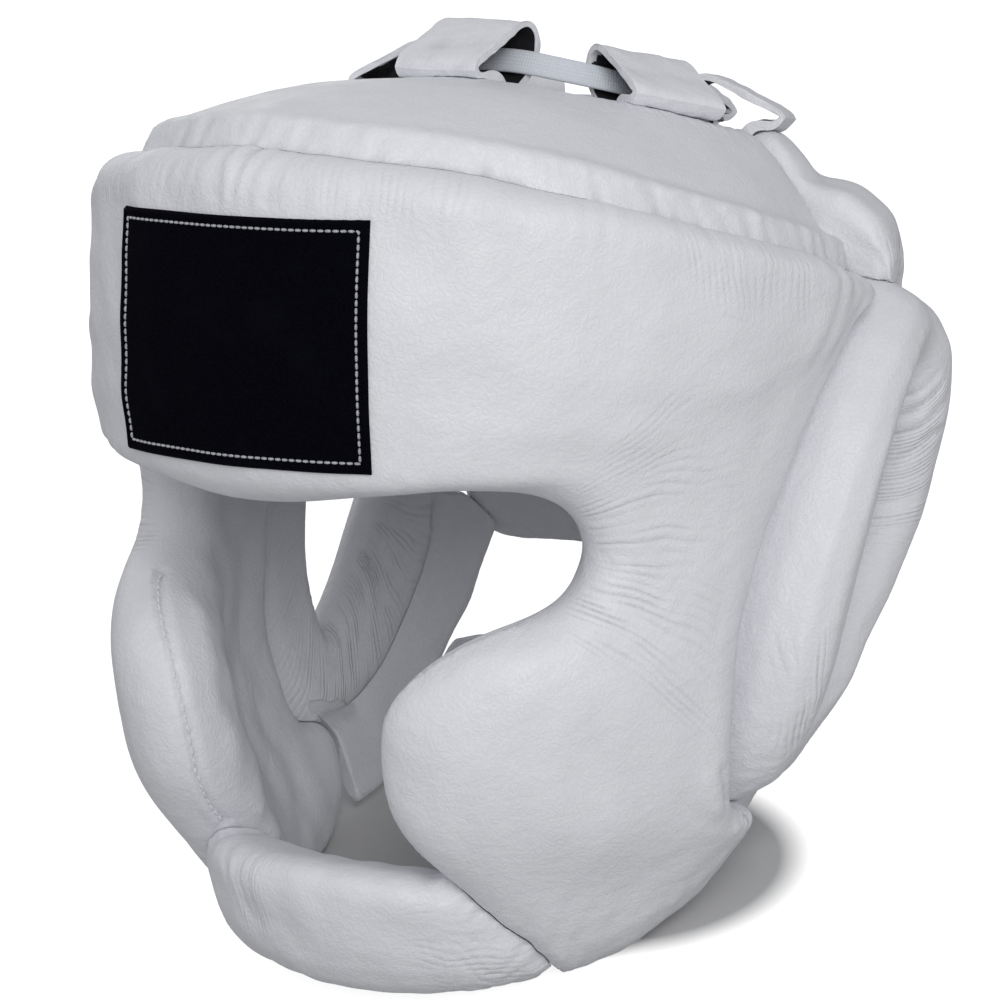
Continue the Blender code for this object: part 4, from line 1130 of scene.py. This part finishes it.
def stitches(name, lines, step, length, radius, material, sink=0.10):
    """Rows of short thread humps along lines of (place, normal)."""
    part = bmesh.new()
    for line in lines:
        spots = np.array([tuple(spot) for spot, _ in line])
        ups = np.array([tuple(normal) for _, normal in line])
        gone = np.concatenate([[0.0], np.cumsum(np.linalg.norm(np.diff(spots, axis=0), axis=1))])
        count = max(1, int(gone[-1] / step))
        for k in range(count):
            middle = (k + 0.5) * gone[-1] / count
            rings = []
            for part_way in (-0.5, -0.42, -0.25, 0.0, 0.25, 0.42, 0.5):
                at = middle + part_way * length
                spot = np.array([np.interp(at, gone, spots[:, c]) for c in range(3)])
                up = np.array([np.interp(at, gone, ups[:, c]) for c in range(3)])
                up /= np.linalg.norm(up)
                ahead = np.array([
                    np.interp(at + 1e-4, gone, spots[:, c]) - np.interp(at - 1e-4, gone, spots[:, c])
                    for c in range(3)
                ])
                ahead /= max(np.linalg.norm(ahead), 1e-9)
                side = np.cross(up, ahead)
                full = math.sqrt(max(0.0, 1.0 - (2.0 * part_way) ** 2)) * 0.7 + 0.3
                centre = spot + up * radius * (0.75 * full - sink - 0.35)
                ring = []
                for c in range(6):
                    turn = 2.0 * math.pi * c / 6.0
                    outward = side * math.cos(turn) + up * math.sin(turn)
                    ring.append(part.verts.new(centre + radius * full * outward))
                rings.append(ring)
            for a, b in zip(rings[:-1], rings[1:]):
                for c in range(6):
                    d = (c + 1) % 6
                    part.faces.new((a[c], a[d], b[d], b[c]))
            part.faces.new(rings[0][::-1])
            part.faces.new(rings[-1])
    bmesh.ops.recalc_face_normals(part, faces=part.faces[:])
    thing = new_thing(name, part)
    hand_over(thing, [material])


def nearest_line(places, tree):
    """(place, normal) pairs on a piece nearest to worn places."""
    line = []
    for place in to_rest(places):
        spot, normal, _, _ = tree.find_nearest(Vector(place))
        line.append((spot, normal))
    return line


def make_seams():
    lines = [nearest_line(rim_line(sign), MADE["face_shell"]) for sign in (1.0, -1.0)]
    stitches("rim_stitching", lines, 0.0034, 0.0027, 0.00042, SEAM_THREAD, -0.15)

    lines = []
    for edge in (-0.0095, 0.0095):
        share = np.linspace(-0.94, 0.94, 90)
        low = 180.0 + share * (180.0 - 117.2)
        high = 180.0 + share * (180.0 - 128.1)
        centre = (0.256 + 0.006 * np.cos(0.5 * math.pi * share)) * HEIGHT
        angle = low + (high - low) * (0.5 + edge / 0.026)
        lines.append(nearest_line(wall(angle, centre + edge, 0.30), MADE["neck_strap"]))
    stitches("strap_stitching", lines, 0.0034, 0.0027, 0.00034, SEAM_THREAD)


def crown_height(angle):
    behind = CROWN_SETBACK - CROWN_RADIUS * math.cos(math.radians(angle)) - (CROWN_SETBACK - CROWN_RADIUS)
    return CROWN_HEIGHT - 0.165 * behind - 0.005 * math.sin(math.radians(angle)) ** 2


def crown_place(angle, radius, height):
    turn = math.radians(angle)
    return np.array([radius * math.sin(turn), CROWN_SETBACK - radius * math.cos(turn), height])


def make_tabs():
    """Leather loops: white outside, near-black on the faces inside each loop, with soft cut edges."""
    for node in TABS_NEAR:
        thing = copy_of(node, node.replace("crown_tab", "loop"))
        soft = thing.modifiers.new("soft", "BEVEL")
        soft.width = 0.00055
        soft.segments = 2
        soft.limit_method = "ANGLE"
        soft.angle_limit = math.radians(50.0)
        finer = thing.modifiers.new("finer", "SUBSURF")
        finer.levels = 3
        applied(thing)
        mesh = thing.data
        own = tree_of(mesh)
        inside = []
        for face in mesh.polygons:
            spot, _, _, away = own.ray_cast(face.center + face.normal * 0.0003, face.normal, 0.035)
            inside.append(int(spot is not None and away > 0.0015))
        mesh.polygons.foreach_set("material_index", np.array(inside, dtype=np.int32))
        places = points_of(mesh)
        lowered = places.copy()
        for k, place in enumerate(places):
            for node_below in ("top_pad", "back_pad"):
                spot, normal, _, away = MADE[node_below].find_nearest(Vector(place), 0.006)
                if spot is None or (Vector(place) - spot).dot(normal) < 0.0:
                    continue
                drop = min(0.0013 * float(ramp(away, 0.0052, 0.0014)), max(away - 0.0002, 0.0))
                lowered[k] -= np.array(normal) * drop
                break
        places = evened(lowered - places, edges_of(mesh), 2) + places
        rise = 0.00022 * waves(places * 1000.0, 15.0, 80) + 0.00012 * waves(places * 1000.0, 6.0, 81)
        set_points(mesh, places + rise[:, None] * normals_of(mesh))
        mark_curvature(thing, 10)
        hand_over_kept(thing, [LEATHER, TAB_INSIDE_DARK], (node,))


def hand_over_kept(thing, materials, nodes):
    """hand_over for a piece whose faces already say which material they take."""
    indices = np.empty(len(thing.data.polygons), dtype=np.int32)
    thing.data.polygons.foreach_get("material_index", indices)
    hand_over(thing, materials, nodes)
    thing.data.polygons.foreach_set("material_index", indices)


def make_lace():
    """Flat webbing through the loops, on the route that its solid has."""
    corners = []
    radius = CROWN_RADIUS + 0.006 - 0.622 * TAB_WIDTH
    for angle in sorted(TAB_ANGLES, key=lambda value: value % 360.0):
        turn = math.radians(angle)
        along = np.array([math.cos(turn), math.sin(turn), 0.0])
        for side in (-1.0, 1.0):
            place = crown_place(angle, radius, 0.0) + along * side * 0.42 * TAB_WIDTH
            round_angle = math.degrees(math.atan2(place[0], CROWN_SETBACK - place[1]))
            place[2] = crown_height(round_angle) + 0.18 * TAB_WIDTH
            corners.append(place)
    corners = np.array(corners)
    points = []
    for k in range(len(corners)):
        a, b = corners[k], corners[(k + 1) % len(corners)]
        for part_way in (0.12, 0.31, 0.5, 0.69, 0.88):
            points.append(a + (b - a) * part_way)
    points = np.array(points)
    ahead = np.roll(points, -1, axis=0) - np.roll(points, 1, axis=0)
    count = len(points)
    length = np.concatenate([[0.0], np.cumsum(np.linalg.norm(np.roll(points, -1, axis=0) - points, axis=1))])
    profile = []
    for c in range(16):
        turn = 2.0 * math.pi * c / 16.0
        cosine, sine = math.cos(turn), math.sin(turn)
        profile.append((math.copysign(abs(cosine) ** 0.35, cosine), math.copysign(abs(sine) ** 0.6, sine)))
    part = bmesh.new()
    uv = part.loops.layers.uv.new("band")
    rings = []
    for k, (spot, way) in enumerate(zip(points, ahead)):
        way = way / np.linalg.norm(way)
        outward = np.cross(way, (0.0, 0.0, 1.0))
        outward /= np.linalg.norm(outward)
        rise = np.array([0.0, 0.0, 1.0]) * 0.85 - outward * 0.53
        flat = np.cross(way, rise)
        flat /= np.linalg.norm(flat)
        rise = np.cross(flat, way)
        ring = []
        for up, side in profile:
            place = spot + rise * up * 0.485 * LACE_WIDTH + flat * side * 0.46 * LACE_THICK
            ring.append(part.verts.new(to_rest(place)))
        rings.append(ring)
    for k in range(count):
        nxt = rings[(k + 1) % count]
        for c in range(16):
            d = (c + 1) % 16
            face = part.faces.new((rings[k][c], rings[k][d], nxt[d], nxt[c]))
            ends = ((length[k], c), (length[k], c + 1), (length[k + 1], c + 1), (length[k + 1], c))
            for corner, (at, column) in zip(face.loops, ends):
                corner[uv].uv = (at, column * 0.0011)
    bmesh.ops.recalc_face_normals(part, faces=part.faces[:])
    thing = new_thing("lace", part)
    finer = thing.modifiers.new("finer", "SUBSURF")
    finer.levels = 2
    applied(thing)
    hand_over(thing, [LACE], ("crown_lace",))


def make_stage():
    part = bmesh.new()
    bmesh.ops.create_grid(part, x_segments=1, y_segments=1, size=4.0)
    floor = new_thing("floor", part)
    made = Nodes("floor_paint")
    spot = made.add("ShaderNodeTexCoord").outputs["Object"]
    faint = made.add("ShaderNodeTexNoise", {"Vector": spot, "Scale": 3.0, "Detail": 2.0}).outputs[0]
    tint = made.mix(made.range(faint, 0.3, 0.7, 0.0, 1.0), (0.54, 0.54, 0.54, 1.0), (0.56, 0.56, 0.56, 1.0))
    made.link(tint, made.shader.inputs["Base Color"])
    made.shader.inputs["Roughness"].default_value = 1.0
    made.shader.inputs["Specular IOR Level"].default_value = 0.0
    made.shader.inputs["Emission Color"].default_value = (1.0, 1.0, 1.0, 1.0)
    rays = made.add("ShaderNodeLightPath").outputs["Is Camera Ray"]
    # Painted shadow: the floor's camera-only glow falls to none in two lobes under the guard, so the floor
    # there shows as shaded.
    split = made.add("ShaderNodeSeparateXYZ", {0: spot}).outputs
    aside = made.sum(made.sum(made.sum(split[0], operation="ABSOLUTE"), -0.040), 1.0 / 0.058, "MULTIPLY")
    along = made.sum(made.sum(split[1], 0.035), 1.0 / 0.047, "MULTIPLY")
    centred = made.add("ShaderNodeCombineXYZ", {0: aside, 1: along}).outputs[0]
    away = made.add("ShaderNodeVectorMath", {0: centred}, operation="LENGTH").outputs["Value"]
    glow_with_painted_shadow = made.sum(made.range(away, 0.86, 1.06, 0.0, 0.85), rays, "MULTIPLY")
    made.link(glow_with_painted_shadow, made.shader.inputs["Emission Strength"])
    made.material.cycles.emission_sampling = "NONE"
    floor.data.materials.append(made.material)

    world = bpy.data.worlds.new("studio")
    world.use_nodes = True
    tree = world.node_tree
    tree.nodes.clear()
    rays = tree.nodes.new("ShaderNodeLightPath")
    lit = tree.nodes.new("ShaderNodeBackground")
    lit.inputs["Color"].default_value = (0.95, 0.97, 1.0, 1.0)
    lit.inputs["Strength"].default_value = 0.42
    seen = tree.nodes.new("ShaderNodeBackground")
    seen.inputs["Color"].default_value = (1.0, 1.0, 1.0, 1.0)
    seen.inputs["Strength"].default_value = 1.0
    both = tree.nodes.new("ShaderNodeMixShader")
    out = tree.nodes.new("ShaderNodeOutputWorld")
    tree.links.new(rays.outputs["Is Camera Ray"], both.inputs[0])
    tree.links.new(lit.outputs[0], both.inputs[1])
    tree.links.new(seen.outputs[0], both.inputs[2])
    tree.links.new(both.outputs[0], out.inputs["Surface"])
    bpy.context.scene.world = world


CAMERA_TURN = math.radians(38.0)
CAMERA_RISE = math.radians(9.5)
CAMERA_AWAY = 1.080
CAMERA_LENS = 127.8
AIM = np.array([-0.003, 0.0, 0.137])


def camera_axes():
    """Right, up and back of the camera, worn."""
    back = np.array([
        math.sin(CAMERA_TURN) * math.cos(CAMERA_RISE),
        -math.cos(CAMERA_TURN) * math.cos(CAMERA_RISE),
        math.sin(CAMERA_RISE),
    ])
    right = np.array([math.cos(CAMERA_TURN), math.sin(CAMERA_TURN), 0.0])
    return right, np.cross(back, right), back


def place_with_axes(thing, place, right, up, back):
    matrix = Matrix.Identity(4)
    for k, way in enumerate((right, up, back)):
        for row, value in enumerate(turned_to_rest(way)):
            matrix[row][k] = float(value)
    for row, value in enumerate(to_rest(place)):
        matrix[row][3] = float(value)
    thing.matrix_world = matrix


def make_camera():
    data = bpy.data.cameras.new("camera")
    data.sensor_width = 36.0
    data.lens = CAMERA_LENS
    data.clip_start = 0.01
    camera = bpy.data.objects.new("camera", data)
    bpy.context.scene.collection.objects.link(camera)
    right, up, back = camera_axes()
    place_with_axes(camera, AIM + CAMERA_AWAY * back, right, up, back)
    bpy.context.scene.camera = camera


def make_lights():
    right, up, back = camera_axes()
    rows = (
        # name, right, up, back, distance, size, watts, colour
        ("key", 0.13, 0.25, 1.00, 1.5, 0.7, 9.2, (1.0, 0.99, 0.98)),
        ("fill", -0.80, 0.55, 0.45, 1.6, 0.9, 1.6, (0.96, 0.98, 1.0)),
        ("rear", -0.30, 0.90, -0.60, 1.6, 0.9, 1.0, (1.0, 1.0, 1.0)),
        ("behind", -0.35, 0.30, -1.00, 1.6, 0.9, 4.5, (1.0, 1.0, 1.0)),
    )
    for name, across, rise, behind, distance, size, watts, colour in rows:
        way = right * across + up * rise + back * behind
        way /= np.linalg.norm(way)
        data = bpy.data.lights.new(name, "AREA")
        data.size = size
        data.energy = watts
        data.color = colour
        lamp = bpy.data.objects.new(name, data)
        bpy.context.scene.collection.objects.link(lamp)
        side = np.cross((0.0, 0.0, 1.0), way)
        side /= np.linalg.norm(side)
        place_with_axes(lamp, AIM + distance * way, side, np.cross(way, side), way)
    bpy.context.scene.view_settings.view_transform = "Standard"


make_pads()
make_thin_pieces()
make_patch()
make_seams()
make_tabs()
make_lace()
make_stage()
make_camera()
make_lights()
